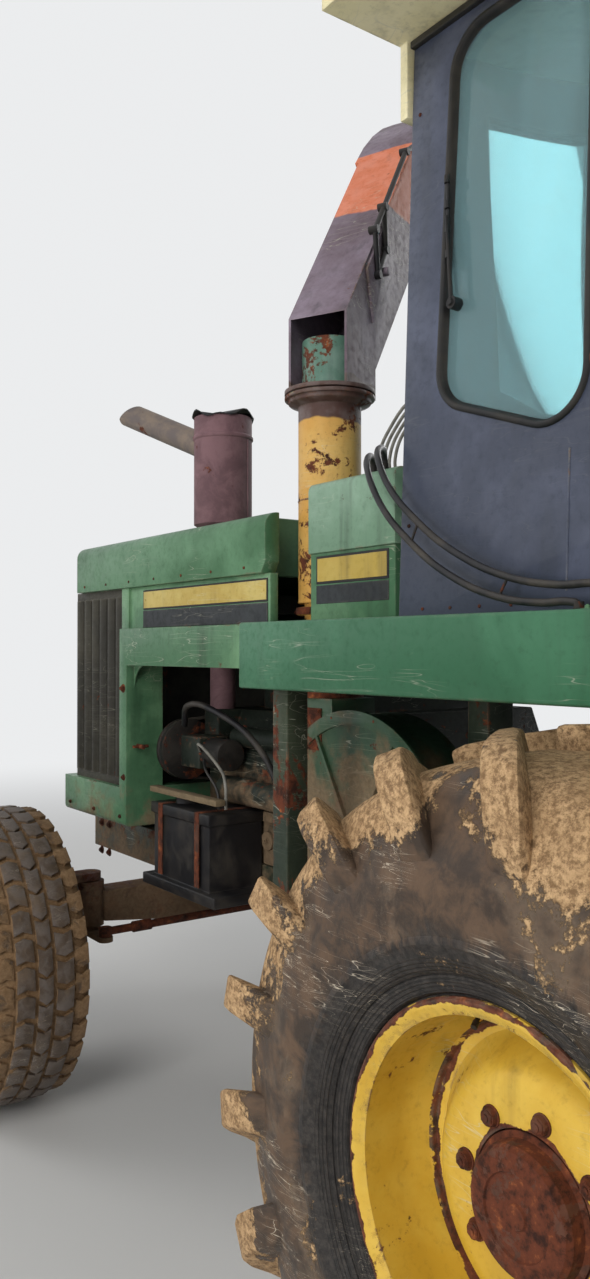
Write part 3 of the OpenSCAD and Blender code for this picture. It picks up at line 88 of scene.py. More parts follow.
class Graph:
    """One node tree, with short calls that add nodes and join their sockets."""

    def __init__(self, tree: bpy.types.NodeTree) -> None:
        """Keeps the tree."""
        self.tree = tree

    def plug(self, socket: bpy.types.NodeSocket, value: object) -> None:
        """Joins a socket to another, or sets it to a plain value.

        Args:
            socket: The input that is filled.
            value: An output socket, or a number, vector or colour.
        """
        if isinstance(value, bpy.types.NodeSocket):
            self.tree.links.new(value, socket)
        elif value is not None:
            socket.default_value = value

    def node(self, kind: str, settings: dict | None = None, **inputs: object) -> bpy.types.Node:
        """Adds a node.

        Args:
            kind: The node's type without its ShaderNode prefix.
            settings: Properties of the node by name.
            inputs: Values of its inputs, with an underscore for a blank in the name.

        Returns:
            The new node.
        """
        made = self.tree.nodes.new("ShaderNode" + kind)
        for name, value in (settings or {}).items():
            setattr(made, name, value)
        for name, value in inputs.items():
            self.plug(made.inputs[name.replace("_", " ")], value)
        return made

    def maths(self, operation: str, *values: object, clamp: bool = False) -> bpy.types.NodeSocket:
        """Adds a Math node over the given values and returns its result."""
        made = self.node("Math", {"operation": operation, "use_clamp": clamp})
        for socket, value in zip(made.inputs, values):
            self.plug(socket, value)
        return made.outputs[0]

    def remap(self, value: object, low: object, high: object, to_low: object = 0.0,
              to_high: object = 1.0) -> bpy.types.NodeSocket:
        """Maps a value from one range to another with soft ends and returns the result."""
        made = self.node("MapRange", {"interpolation_type": "SMOOTHSTEP"}, Value=value,
                         From_Min=low, From_Max=high, To_Min=to_low, To_Max=to_high)
        return made.outputs["Result"]

    def mix(self, factor: object, first: object, second: object,
            blend: str = "MIX") -> bpy.types.NodeSocket:
        """Mixes two colours by a factor and returns the colour."""
        made = self.node("Mix", {"data_type": "RGBA", "blend_type": blend})
        for index, value in ((0, factor), (6, first), (7, second)):
            self.plug(made.inputs[index], value)
        return made.outputs[2]

    def noise(self, vector: object, scale: object, detail: float = 4.0,
              roughness: float = 0.55, distortion: float = 0.0) -> bpy.types.NodeSocket:
        """Adds a noise field and returns its value."""
        made = self.node("TexNoise", Vector=vector, Scale=scale, Detail=detail,
                         Roughness=roughness, Distortion=distortion)
        return made.outputs[0]

    def stretched(self, vector: object, scale: tuple[float, float, float],
                  shift: tuple[float, float, float] = (0, 0, 0)) -> bpy.types.NodeSocket:
        """Scales and shifts a vector and returns it."""
        return self.node("Mapping", Vector=vector, Scale=scale, Location=shift).outputs[0]

    def group(self, tree: bpy.types.NodeTree, **inputs: object) -> bpy.types.Node:
        """Places a node group with its own values and returns its node."""
        made = self.tree.nodes.new("ShaderNodeGroup")
        made.node_tree = tree
        for name, value in inputs.items():
            self.plug(made.inputs[name.replace("_", " ")], value)
        return made


KINDS = {"Vector": "NodeSocketVector", "Color": "NodeSocketColor"}


def new_group(name: str, inputs: dict[str, object], outputs: tuple[str, ...]) \
        -> tuple[Graph, bpy.types.Node, bpy.types.Node]:
    """Starts a shader node group.

    Args:
        name: Name of the group.
        inputs: Each input's name and usual value; a tuple of three makes a vector.
        outputs: Names of the outputs; Color and Vector have their own kind.

    Returns:
        The graph, its input node and its output node.
    """
    tree = bpy.data.node_groups.new(name, "ShaderNodeTree")
    for label, value in inputs.items():
        kind = KINDS.get(label, "NodeSocketFloat")
        socket = tree.interface.new_socket(name=label, in_out="INPUT", socket_type=kind)
        if kind == "NodeSocketFloat":
            socket.default_value = value
    for label in outputs:
        tree.interface.new_socket(name=label, in_out="OUTPUT",
                                  socket_type=KINDS.get(label, "NodeSocketFloat"))
    graph = Graph(tree)
    return graph, tree.nodes.new("NodeGroupInput"), tree.nodes.new("NodeGroupOutput")


def blotch_group() -> bpy.types.NodeTree:
    """Soft uneven patches, as of sun-bleached or damp paint."""
    graph, given, out = new_group("blotches", {"Vector": None, "Scale": 3.0, "Low": 0.4,
                                               "High": 0.65}, ("Mask",))
    field = graph.noise(given.outputs["Vector"], given.outputs["Scale"], 7.0, 0.62, 0.3)
    graph.plug(out.inputs["Mask"], graph.remap(field, given.outputs["Low"],
                                               given.outputs["High"]))
    return graph.tree


def edge_group() -> bpy.types.NodeTree:
    """Worn bare strips along a piece's outer edges, broken up by noise."""
    graph, given, out = new_group("edge wear", {"Vector": None, "Radius": 0.012, "Amount": 1.0},
                                  ("Mask",))
    rounded = graph.node("Bevel", {"samples": 4}, Radius=given.outputs["Radius"])
    flat = graph.node("NewGeometry")
    likeness = graph.node("VectorMath", {"operation": "DOT_PRODUCT"})
    graph.plug(likeness.inputs[0], rounded.outputs[0])
    graph.plug(likeness.inputs[1], flat.outputs["Normal"])
    bend = graph.remap(likeness.outputs["Value"], 0.995, 0.93)
    chips = graph.remap(graph.noise(given.outputs["Vector"], 38.0, 5.0, 0.7), 0.38, 0.6)
    broad = graph.remap(graph.noise(given.outputs["Vector"], 4.0, 2.0), 0.35, 0.7)
    worn = graph.maths("MULTIPLY", bend, graph.maths("MULTIPLY", chips, broad))
    graph.plug(out.inputs["Mask"], graph.maths("MULTIPLY", worn, given.outputs["Amount"],
                                               clamp=True))
    return graph.tree


def rust_group() -> bpy.types.NodeTree:
    """Rust spots and patches with their colour and height."""
    graph, given, out = new_group("rust", {"Vector": None, "Scale": 5.0, "Amount": 0.3,
                                           "Edge": 0.0}, ("Mask", "Color", "Height"))
    vector, scale = given.outputs["Vector"], given.outputs["Scale"]
    patches = graph.noise(vector, scale, 9.0, 0.68, 0.6)
    spots = graph.noise(vector, graph.maths("MULTIPLY", scale, 9.0), 4.0, 0.6)
    field = graph.maths("ADD", graph.maths("MULTIPLY", patches, 0.78),
                        graph.maths("MULTIPLY", spots, 0.22))
    level = graph.maths("SUBTRACT", 0.72, graph.maths("MULTIPLY", given.outputs["Amount"], 0.4))
    grown = graph.maths("ADD", field, graph.maths("MULTIPLY", given.outputs["Edge"], 0.24))
    mask = graph.remap(grown, level, graph.maths("ADD", level, 0.035))
    tone = graph.noise(vector, graph.maths("MULTIPLY", scale, 4.0), 6.0, 0.7)
    dark = graph.mix(graph.remap(tone, 0.35, 0.55), hue("#2c1a14"), hue("#5a3020"))
    warm = graph.mix(graph.remap(tone, 0.55, 0.75), dark, hue("#9a5a33"))
    graph.plug(out.inputs["Mask"], mask)
    graph.plug(out.inputs["Color"], warm)
    graph.plug(out.inputs["Height"], graph.maths("MULTIPLY", mask, tone))
    return graph.tree


def mud_group() -> bpy.types.NodeTree:
    """Dried splash that thins out with height above the ground."""
    graph, given, out = new_group("mud", {"Vector": None, "Top": 0.8, "Fade": 0.5,
                                          "Scale": 9.0}, ("Mask", "Color", "Height"))
    vector = given.outputs["Vector"]
    height = graph.node("SeparateXYZ", Vector=vector).outputs["Z"]
    depth = graph.maths("DIVIDE", graph.maths("SUBTRACT", given.outputs["Top"], height),
                        given.outputs["Fade"])
    clots = graph.noise(vector, given.outputs["Scale"], 8.0, 0.66, 0.4)
    fine = graph.noise(vector, graph.maths("MULTIPLY", given.outputs["Scale"], 7.0), 4.0, 0.7)
    lifted = graph.maths("ADD", graph.maths("MULTIPLY", depth, 0.6),
                         graph.maths("SUBTRACT", clots, 0.52))
    mask = graph.remap(lifted, -0.02, 0.2)
    graph.plug(out.inputs["Mask"], mask)
    graph.plug(out.inputs["Color"], graph.mix(fine, hue("#4a3a2c"), hue("#8d765c")))
    graph.plug(out.inputs["Height"], graph.maths("MULTIPLY", mask, fine))
    return graph.tree


def streak_group() -> bpy.types.NodeTree:
    """Runs that rain has drawn down an upright face."""
    graph, given, out = new_group("streaks", {"Vector": None, "Scale": 12.0}, ("Mask",))
    long_way = graph.stretched(given.outputs["Vector"], (1.0, 1.0, 0.07))
    field = graph.noise(long_way, given.outputs["Scale"], 5.0, 0.6)
    gaps = graph.noise(given.outputs["Vector"], 2.2, 3.0)
    graph.plug(out.inputs["Mask"], graph.maths("MULTIPLY", graph.remap(field, 0.5, 0.72),
                                               graph.remap(gaps, 0.35, 0.65)))
    return graph.tree


def scratch_group() -> bpy.types.NodeTree:
    """Fine long scratches that cross each other."""
    graph, given, out = new_group("scratches", {"Vector": None, "Scale": 5.0}, ("Mask",))
    lines = None
    for turn, shift in ((0.35, 0.0), (-0.8, 5.0), (1.2, 9.0)):
        turned = graph.node("Mapping", Vector=given.outputs["Vector"],
                            Rotation=(0.2, turn, 0.0), Location=(shift, 0, shift),
                            Scale=(0.35, 1.0, 4.0)).outputs[0]
        field = graph.noise(turned, given.outputs["Scale"], 2.0, 0.4, 0.6)
        line = graph.remap(graph.maths("ABSOLUTE", graph.maths("SUBTRACT", field, 0.5)),
                           0.004, 0.0)
        lines = line if lines is None else graph.maths("MAXIMUM", lines, line)
    rare = graph.remap(graph.noise(given.outputs["Vector"], 3.1, 2.0), 0.5, 0.62)
    graph.plug(out.inputs["Mask"], graph.maths("MULTIPLY", lines, rare))
    return graph.tree


BLOTCHES = blotch_group()
EDGES = edge_group()
RUST = rust_group()
MUD = mud_group()
STREAKS = streak_group()
SCRATCHES = scratch_group()


class Surface:
    """A material under construction: its graph, its shader and its object coordinates."""

    def __init__(self, name: str) -> None:
        """Starts a material with a Principled shader."""
        self.material = bpy.data.materials.new(name)
        self.material.use_nodes = True
        self.graph = Graph(self.material.node_tree)
        self.shader = self.material.node_tree.nodes["Principled BSDF"]
        self.place = self.graph.node("TexCoord").outputs["Object"]

    def close(self, colour: object, roughness: object, height: object = None,
              strength: float = 0.4, distance: float = 0.004, **plain: float) -> bpy.types.Material:
        """Joins the last sockets to the shader.

        Args:
            colour: Base colour, a socket or a plain colour.
            roughness: Roughness, a socket or a number.
            height: Field that a Bump node reads, or None.
            strength: Strength of the bump.
            distance: Height of the bump in metres.
            plain: Other inputs of the shader, set directly.

        Returns:
            The finished material.
        """
        self.graph.plug(self.shader.inputs["Base Color"], colour)
        self.graph.plug(self.shader.inputs["Roughness"], roughness)
        if height is not None:
            bump = self.graph.node("Bump", Strength=strength, Distance=distance, Height=height)
            self.graph.plug(self.shader.inputs["Normal"], bump.outputs["Normal"])
        for name, value in plain.items():
            self.graph.plug(self.shader.inputs[name.replace("_", " ")], value)
        return self.material


def from_axle(graph: Graph, place: bpy.types.NodeSocket, axle: tuple[float, float, float]) \
        -> tuple[bpy.types.NodeSocket, bpy.types.NodeSocket, bpy.types.NodeSocket]:
    """Measures how far a place is from a wheel's axle.

    Args:
        graph: The material's nodes.
        place: The place on the surface.
        axle: A point of the axle, which lies along Y.

    Returns:
        The radius, the angle round the axle and the place along it.
    """
    parts = graph.node("SeparateXYZ", Vector=graph.stretched(
        place, (1, 1, 1), tuple(-c for c in axle))).outputs
    radius = graph.maths("SQRT", graph.maths("ADD", graph.maths("MULTIPLY", parts[0], parts[0]),
                                             graph.maths("MULTIPLY", parts[2], parts[2])))
    return radius, graph.maths("ARCTAN2", parts[2], parts[0]), parts[1]


@dataclass(frozen=True)
class Band:
    """A coloured band of the paint between two heights."""

    low: float
    high: float
    colour: str


@dataclass(frozen=True)
class Paint:
    """Old machine paint: faded, stained, scratched, rusted and splashed."""

    name: str
    colour: str
    faded: str
    rust: float = 0.2
    wear: float = 0.8
    roughness: float = 0.42
    fade_low: float = 0.42
    mud_top: float = 0.55
    streaks: float = 0.45
    scratches: float = 0.5
    rust_scale: float = 5.0
    wobble: float = 0.05
    bands: tuple[Band, ...] = ()
    axle: tuple[float, float, float] = (0.0, 0.0, 0.0)
    rings: tuple[tuple[float, float], ...] = ()

    def build(self) -> bpy.types.Material:
        """Makes the material."""
        surface = Surface(self.name)
        graph, place = surface.graph, surface.place
        colour = graph.mix(graph.group(BLOTCHES, Vector=place, Scale=2.6, Low=self.fade_low,
                                       High=self.fade_low + 0.25).outputs[0],
                           hue(self.colour), hue(self.faded))
        if self.bands:
            height = graph.node("SeparateXYZ", Vector=place).outputs["Z"]
            sway = graph.maths("MULTIPLY", graph.maths("SUBTRACT", graph.noise(place, 7.0), 0.5),
                               self.wobble)
            level = graph.maths("ADD", height, sway)
            for band in self.bands:
                inside = graph.maths("MULTIPLY",
                                     graph.remap(level, band.low - 0.004, band.low + 0.004),
                                     graph.remap(level, band.high + 0.004, band.high - 0.004))
                tone = graph.mix(graph.remap(graph.noise(place, 14.0, 6.0), 0.4, 0.62), (0, 0, 0, 1),
                                 (0.1, 0.1, 0.1, 1))
                colour = graph.mix(inside, colour, graph.mix(0.5, hue(band.colour), tone, "ADD"))
        mottle = graph.noise(place, 46.0, 6.0, 0.7)
        colour = graph.mix(graph.remap(mottle, 0.5, 0.8, 0.0, 0.3), colour, hue("#20221c"))
        runs = graph.group(STREAKS, Vector=place, Scale=16.0).outputs[0]
        colour = graph.mix(graph.maths("MULTIPLY", runs, self.streaks), colour, hue("#23241d"))
        lines = graph.maths("MULTIPLY", graph.group(SCRATCHES, Vector=place).outputs[0],
                            self.scratches)
        colour = graph.mix(lines, colour, hue("#b9b7a4"))
        edge = graph.group(EDGES, Vector=place, Radius=0.011, Amount=self.wear).outputs[0]
        rusting = edge
        if self.rings:
            radius = from_axle(graph, place, self.axle)[0]
            sway = graph.remap(graph.noise(place, 11.0, 6.0), 0.3, 0.7, -0.7, 0.7)
            for ring, width in self.rings:
                off = graph.maths("ABSOLUTE", graph.maths("SUBTRACT", radius, ring))
                near = graph.remap(graph.maths("MULTIPLY_ADD", sway, width * 0.5, off), width, 0.0)
                rusting = graph.maths("MAXIMUM", rusting, near)
        rust = graph.group(RUST, Vector=place, Scale=self.rust_scale, Amount=self.rust,
                           Edge=rusting)
        colour = graph.mix(rust.outputs["Mask"], colour, rust.outputs["Color"])
        colour = graph.mix(graph.maths("MULTIPLY", edge, 0.5), colour, hue("#8f8776"))
        # Mud from the ground up to mud_top; on the panel green it is partly painted shade on the sill and
        # the bay posts.
        mud = graph.group(MUD, Vector=place, Top=self.mud_top, Fade=0.6, Scale=8.0)
        colour = graph.mix(graph.maths("MULTIPLY", mud.outputs["Mask"], 0.8), colour,
                           mud.outputs["Color"])
        rough = graph.maths("ADD", self.roughness, graph.maths(
            "MULTIPLY", graph.maths("MAXIMUM", rust.outputs["Mask"], mud.outputs["Mask"]), 0.42))
        rough = graph.maths("ADD", rough, graph.remap(mottle, 0.4, 0.7, -0.05, 0.12))
        height = graph.maths("ADD", graph.maths("MULTIPLY", rust.outputs["Height"], 0.5),
                             graph.maths("MULTIPLY", mud.outputs["Height"], 0.9))
        height = graph.maths("ADD", height, graph.maths("MULTIPLY", graph.noise(place, 5.0), 0.6))
        return surface.close(colour, rough, height, 0.35, 0.004)


@dataclass(frozen=True)
class Metal:
    """Bare or rusty metal with a second tone in patches."""

    name: str
    colour: str
    second: str
    metallic: float = 0.6
    roughness: float = 0.55
    rust: float = 0.5
    scale: float = 9.0

    def build(self) -> bpy.types.Material:
        """Makes the material."""
        surface = Surface(self.name)
        graph, place = surface.graph, surface.place
        tone = graph.noise(place, self.scale, 8.0, 0.68, 0.4)
        colour = graph.mix(graph.remap(tone, 0.38, 0.62), hue(self.colour), hue(self.second))
        rust = graph.group(RUST, Vector=place, Scale=self.scale * 0.8, Amount=self.rust, Edge=0.0)
        colour = graph.mix(rust.outputs["Mask"], colour, rust.outputs["Color"])
        bare = graph.maths("MULTIPLY", graph.maths("SUBTRACT", 1.0, rust.outputs["Mask"]),
                           self.metallic)
        rough = graph.maths("ADD", self.roughness,
                            graph.maths("MULTIPLY", rust.outputs["Mask"], 0.3))
        height = graph.maths("ADD", rust.outputs["Height"],
                             graph.maths("MULTIPLY", graph.noise(place, 90.0, 3.0), 0.3))
        graph.plug(surface.shader.inputs["Metallic"], bare)
        return surface.close(colour, rough, height, 0.4, 0.002)


@dataclass(frozen=True)
class Plastic:
    """Moulded plastic, seal rubber or hose rubber with dust on it."""

    name: str
    colour: str
    dust: str = "#6d6457"
    roughness: float = 0.5
    dusty: float = 0.35
    grain: float = 260.0

    def build(self) -> bpy.types.Material:
        """Makes the material."""
        surface = Surface(self.name)
        graph, place = surface.graph, surface.place
        dust = graph.group(BLOTCHES, Vector=place, Scale=7.0, Low=0.42, High=0.75).outputs[0]
        shade = graph.mix(graph.noise(place, 30.0), hue(self.colour), hue("#0f0f10"))
        colour = graph.mix(graph.maths("MULTIPLY", dust, self.dusty), shade, hue(self.dust))
        rough = graph.maths("ADD", self.roughness, graph.maths("MULTIPLY", dust, 0.25))
        return surface.close(colour, rough, graph.noise(place, self.grain, 2.0), 0.25, 0.0008)


@dataclass(frozen=True)
class Rubber:
    """Tyre rubber round one wheel: tan mud outside, stained and scuffed flanks, a dark bead."""

    name: str
    centre: tuple[float, float, float]
    bead: float
    tip: float
    shoulder: float
    mud: str = "#c6a47a"
    stain: str = "#594636"
    caked: float = 1.0
    groove: float = 0.0

    def build(self) -> bpy.types.Material:
        """Makes the material."""
        surface = Surface(self.name)
        graph, place = surface.graph, surface.place
        radius, angle, across = from_axle(graph, place, self.centre)
        polar = graph.node("CombineXYZ", X=graph.maths("MULTIPLY", angle, 4.0),
                           Y=graph.maths("MULTIPLY", across, 2.0),
                           Z=graph.maths("MULTIPLY", radius, 3.0)).outputs[0]
        patches = graph.noise(place, 5.5, 8.0, 0.62, 0.6)
        blots = graph.noise(place, 17.0, 7.0, 0.66, 0.4)
        crumbs = graph.noise(place, 75.0, 6.0, 0.8)
        rays = graph.noise(polar, 3.2, 8.0, 0.72, 1.1)
        black = graph.mix(graph.remap(crumbs, 0.35, 0.7), hue("#161413"), hue("#3a3531"))
        outward = graph.remap(radius, self.bead, self.shoulder, -0.15, 1.0)
        stained = graph.maths("ADD", outward, graph.maths("SUBTRACT", rays, 0.6))
        film = graph.mix(graph.remap(blots, 0.36, 0.64), hue("#33281f"), hue(self.stain))
        film = graph.mix(graph.remap(patches, 0.5, 0.66, 0.0, 0.45), film, hue("#7c6a57"))
        colour = graph.mix(graph.remap(stained, 0.1, 0.42, 0.0, 0.92), black, film)
        straws = graph.group(SCRATCHES, Vector=place, Scale=9.0).outputs[0]
        finer = graph.group(SCRATCHES, Vector=graph.stretched(place, (1, 1, 1), (3, 5, 1)),
                            Scale=17.0).outputs[0]
        scuffed = graph.maths("MULTIPLY", graph.maths("MAXIMUM", straws, finer),
                              graph.remap(blots, 0.38, 0.54, 0.3, 1.0))
        colour = graph.mix(scuffed, colour, hue("#b5aa97"))
        hoops = graph.maths("SINE", graph.maths("MULTIPLY", radius, 900.0))
        hoops = graph.maths("MULTIPLY", graph.remap(hoops, 0.2, 0.9), graph.remap(
            radius, self.bead + 0.075, self.bead + 0.055))
        colour = graph.mix(graph.maths("MULTIPLY", hoops, 0.5), colour, hue("#0c0b0b"))
        worn = graph.maths("MULTIPLY", graph.remap(radius, self.tip - 0.016, self.tip - 0.003),
                           graph.remap(blots, 0.4, 0.62, 0.15, 0.75))
        colour = graph.mix(worn, colour, hue("#5f5c5b"))
        caked = graph.maths("ADD", graph.remap(radius, self.shoulder - 0.06, self.tip - 0.02,
                                               0.0, 0.3),
                            graph.maths("SUBTRACT", patches, 0.62))
        cake = graph.remap(graph.maths("ADD", caked, graph.remap(crumbs, 0.3, 0.7, -0.05, 0.05)),
                           0.0, 0.05)
        cake = graph.maths("MULTIPLY", cake, self.caked)
        if self.groove:
            filled = graph.remap(graph.maths("ADD", radius, graph.remap(
                blots, 0.3, 0.7, -0.006, 0.006)), self.tip - self.groove * 0.35,
                self.tip - self.groove * 0.8, 0.0, 0.9)
            crown = graph.remap(radius, self.tip - self.groove * 3.4, self.tip - self.groove * 2.2)
            cake = graph.maths("MAXIMUM", cake, graph.maths("MULTIPLY", filled, crown))
        earth = graph.mix(graph.remap(crumbs, 0.38, 0.62), hue("#775c40"), hue(self.mud))
        earth = graph.mix(graph.remap(blots, 0.4, 0.7, 0.0, 0.5), earth, hue("#8a6d4d"))
        colour = graph.mix(cake, colour, earth)
        height = graph.maths("ADD", graph.maths("MULTIPLY", cake, graph.maths("ADD", 0.4, crumbs)),
                             graph.maths("MULTIPLY", blots, 0.35))
        height = graph.maths("ADD", height, graph.maths("MULTIPLY", hoops, -0.3))
        rough = graph.maths("ADD", 0.52, graph.maths("MULTIPLY", cake, 0.43))
        rough = graph.maths("ADD", rough, graph.remap(blots, 0.4, 0.6, -0.08, 0.12))
        return surface.close(colour, rough, height, 0.75, 0.007)


@dataclass(frozen=True)
class Glass:
    """Tinted cab glass with dust in its corners and a few dried drops."""

    name: str
    tint: str = "#a9cdd1"

    def build(self) -> bpy.types.Material:
        """Makes the material."""
        surface = Surface(self.name)
        graph, place = surface.graph, surface.place
        dust = graph.group(BLOTCHES, Vector=place, Scale=3.0, Low=0.5, High=0.85).outputs[0]
        drops = graph.remap(graph.noise(place, 60.0, 2.0, 0.4), 0.74, 0.78)
        runs = graph.group(STREAKS, Vector=place, Scale=9.0).outputs[0]
        film = graph.maths("MAXIMUM", graph.maths("MULTIPLY", dust, 0.22),
                           graph.maths("MAXIMUM", graph.maths("MULTIPLY", drops, 0.3),
                                       graph.maths("MULTIPLY", runs, 0.15)))
        colour = graph.mix(film, hue(self.tint), hue("#a9b4ab"))
        rough = graph.maths("ADD", 0.03, graph.maths("MULTIPLY", film, 0.3))
        return surface.close(colour, rough, Transmission_Weight=0.8, IOR=1.25)


@dataclass(frozen=True)
class Cloth:
    """Woven seat cloth, darkened where it is sat on."""

    name: str
    colour: str = "#3d3a3a"
    thread: str = "#57524c"

    def build(self) -> bpy.types.Material:
        """Makes the material."""
        surface = Surface(self.name)
        graph, place = surface.graph, surface.place
        waves = [graph.node("TexWave", {"bands_direction": axis}, Vector=place, Scale=90.0,
                            Distortion=0.6).outputs[1] for axis in ("X", "Y", "Z")]
        weave = graph.maths("MULTIPLY", waves[1], graph.maths("MAXIMUM", waves[0], waves[2]))
        soil = graph.group(BLOTCHES, Vector=place, Scale=6.0, Low=0.35, High=0.7).outputs[0]
        colour = graph.mix(weave, hue(self.colour), hue(self.thread))
        colour = graph.mix(graph.maths("MULTIPLY", soil, 0.4), colour, hue("#1d1b1a"))
        return surface.close(colour, 0.9, weave, 0.4, 0.001, Sheen_Weight=0.3)


@dataclass(frozen=True)
class Lens:
    """Fluted lamp glass over a bright reflector."""

    name: str
    colour: str = "#d9dcd2"

    def build(self) -> bpy.types.Material:
        """Makes the material."""
        surface = Surface(self.name)
        graph, place = surface.graph, surface.place
        flutes = graph.node("TexWave", {"bands_direction": "Y"}, Vector=place,
                            Scale=55.0).outputs[1]
        colour = graph.mix(graph.maths("MULTIPLY", flutes, 0.35), hue(self.colour), hue("#8d9490"))
        return surface.close(colour, 0.18, flutes, 0.5, 0.002, Metallic=0.2, Coat_Weight=0.6)


class Finish(Enum):
    """The machine's finishes; each is built once, when a piece first asks for it."""

    HOOD = Paint("hood green", "#3c6142", "#567c5c", rust=0.14, streaks=0.3, mud_top=0.4)
    # mud_top 1.15 carries the mud up over the sill and the foot of the bay posts; there it is partly dirt
    # and partly painted shade.
    GREEN = Paint("panel green", "#406447", "#638864", rust=0.24, mud_top=1.15, streaks=0.5)
    BEAM = Paint("platform green", "#27563a", "#356548", rust=0.1, streaks=0.2, scratches=0.5,
                 mud_top=0.8)
    LID = Paint("box lid green", "#66846c", "#7f9a85", rust=0.22, rust_scale=9.0)
    CHASSIS = Paint("frame paint", "#20291f", "#333a2b", rust=0.5, wear=1.0, roughness=0.6,
                    mud_top=1.0)
    AXLE = Paint("axle paint", "#34251f", "#55332b", rust=0.6, wear=1.0, roughness=0.6,
                 mud_top=0.9)
    CASING = Paint("blower green", "#27432e", "#3b5039", rust=0.36, wear=1.0, mud_top=1.5)
    SLATE = Paint("cab paint", "#353a48", "#4a4f60", rust=0.07, streaks=0.2, scratches=0.04,
                  roughness=0.42)
    ROOF = Paint("roof paint", "#ddd2a6", "#e9dfbb", rust=0.2, streaks=0.35, roughness=0.5)
    SLAT = Paint("slat paint", "#2a2822", "#3b382f", rust=0.22, streaks=0.6, roughness=0.6,
                 scratches=0.2)
    YELLOW = Paint("plate yellow", "#a58c3c", "#b8a55e", rust=0.14, scratches=0.4, wear=0.4)
    PIPE = Paint("pipe yellow", "#c29248", "#cba762", rust=0.43, rust_scale=7.0, streaks=0.5,
                 bands=(Band(2.425, 2.516, "#4c3630"), Band(2.516, 2.71, "#527263")))
    RIM = Paint("rim yellow", "#c0982f", "#d0ae48", rust=0.3, rust_scale=8.0, mud_top=0.35,
                streaks=0.3, roughness=0.4)
    SPOUT = Paint("spout paint", "#63545c", "#877a87", rust=0.28, streaks=0.5, roughness=0.6,
                  bands=(Band(3.2, 3.505, "#cf7552"), Band(2.50, 2.56, "#4c3630")))
    DARK = Paint("dark strip", "#1c1f22", "#2b2f31", rust=0.16, wear=0.5, roughness=0.55,
                 scratches=0.2)
    ENGINE = Paint("engine paint", "#131914", "#1e241d", rust=0.4, wear=1.0, roughness=0.6,
                   mud_top=1.3)
    STACK = Metal("burnt steel", "#664c50", "#7d5f63", metallic=0.1, roughness=0.7, rust=0.3)
    OUTLET = Metal("dull outlet steel", "#685f5c", "#807265", metallic=0.1, roughness=0.7,
                   rust=0.3)
    RUSTY = Metal("rusty steel", "#3d2920", "#5c3a2c", metallic=0.1, roughness=0.78, rust=0.7)
    STEEL = Metal("worn steel", "#8d8a84", "#6d665d", metallic=0.9, roughness=0.35, rust=0.25)
    PULLEY = Metal("dull pulley iron", "#242220", "#35312d", metallic=0.3, roughness=0.6,
                   rust=0.4)
    CHROME = Metal("rod chrome", "#c9c9c6", "#b5b4b0", metallic=1.0, roughness=0.16, rust=0.0)
    CORE = Metal("radiator core", "#2b2a26", "#3d3b35", metallic=0.3, roughness=0.7, rust=0.3)
    BLACK = Plastic("black plastic", "#151417", dusty=0.2)
    SEAL = Plastic("seal rubber", "#161617", dusty=0.2, roughness=0.42)
    HOSE = Plastic("hose rubber", "#232225", dusty=0.3, roughness=0.38)
    BELT = Plastic("belt rubber", "#201f1e", dusty=0.5, roughness=0.7)
    TRIM = Plastic("cab trim", "#35363a", dusty=0.2, roughness=0.6, grain=400.0)
    WIRE = Plastic("pale wire", "#98948a", dust="#6f6a5f", dusty=0.4)
    GLASS = Glass("cab glass")
    CLOTH = Cloth("seat cloth")
    LENS = Lens("lamp lens")
    MIRROR = Metal("mirror silver", "#dcdfe0", "#cdd2d4", metallic=1.0, roughness=0.05, rust=0.0)

    def material(self) -> bpy.types.Material:
        """Gives the finish's material, making it at its first use."""
        return bpy.data.materials.get(self.value.name) or self.value.build()


# Mesh work


def finish_piece(name: str, bm: bmesh.types.BMesh, body: str, finish: Finish,
                 replaces: tuple[str, ...] = (), angle: float = 32.0) -> bpy.types.Object:
    """Turns a bmesh into a piece of the machine that rides on its body.

    Args:
        name: Name of the piece.
        bm: The finished mesh, freed here.
        body: The CAD body that the piece moves with.
        finish: The piece's finish.
        replaces: CAD nodes that the piece stands for.
        angle: Edges sharper than this, in degrees, stay crisp.

    Returns:
        The new object.
    """
    mesh = bpy.data.meshes.new(name)
    bm.to_mesh(mesh)
    bm.free()
    mesh.shade_smooth()
    mesh.set_sharp_from_angle(angle=math.radians(angle))
    mesh.materials.append(finish.material())
    piece = bpy.data.objects.new(name, mesh)
    bpy.context.scene.collection.objects.link(piece)
    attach(piece, body)
    if replaces:
        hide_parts(*replaces)
    LOG.info("%s: %d faces on %s", name, len(mesh.polygons), body)
    return piece


def repaint(piece: bpy.types.Object, finish: Finish, chosen: Callable[[Vector], bool]) -> None:
    """Gives a second finish to the faces whose centres pass a test.

    Args:
        piece: The piece that is repainted.
        finish: The finish of the chosen faces.
        chosen: Says of a face's centre whether the face is chosen.
    """
    piece.data.materials.append(finish.material())
    index = len(piece.data.materials) - 1
    for face in piece.data.polygons:
        if chosen(face.center):
            face.material_index = index


def merged_copy(node: str) -> bmesh.types.BMesh:
    """Copies a CAD node's mesh with its doubles merged and its flat faces whole."""
    bm = bmesh.new()
    bm.from_mesh(frame["nodes"][node].data)
    bmesh.ops.remove_doubles(bm, verts=bm.verts, dist=2e-5)
    bmesh.ops.dissolve_limit(bm, angle_limit=math.radians(0.6), verts=bm.verts, edges=bm.edges)
    return bm


def round_edges(bm: bmesh.types.BMesh, width: float, segments: int = 2,
                angle: float = 28.0) -> None:
    """Bevels every edge sharper than the given angle, in degrees."""
    sharp = [e for e in bm.edges if len(e.link_faces) == 2
             and e.calc_face_angle(0.0) > math.radians(angle)]
    bmesh.ops.bevel(bm, geom=sharp, offset=width, offset_type="OFFSET", affect="EDGES",
                    segments=segments, profile=0.5, material=-1, clamp_overlap=True)


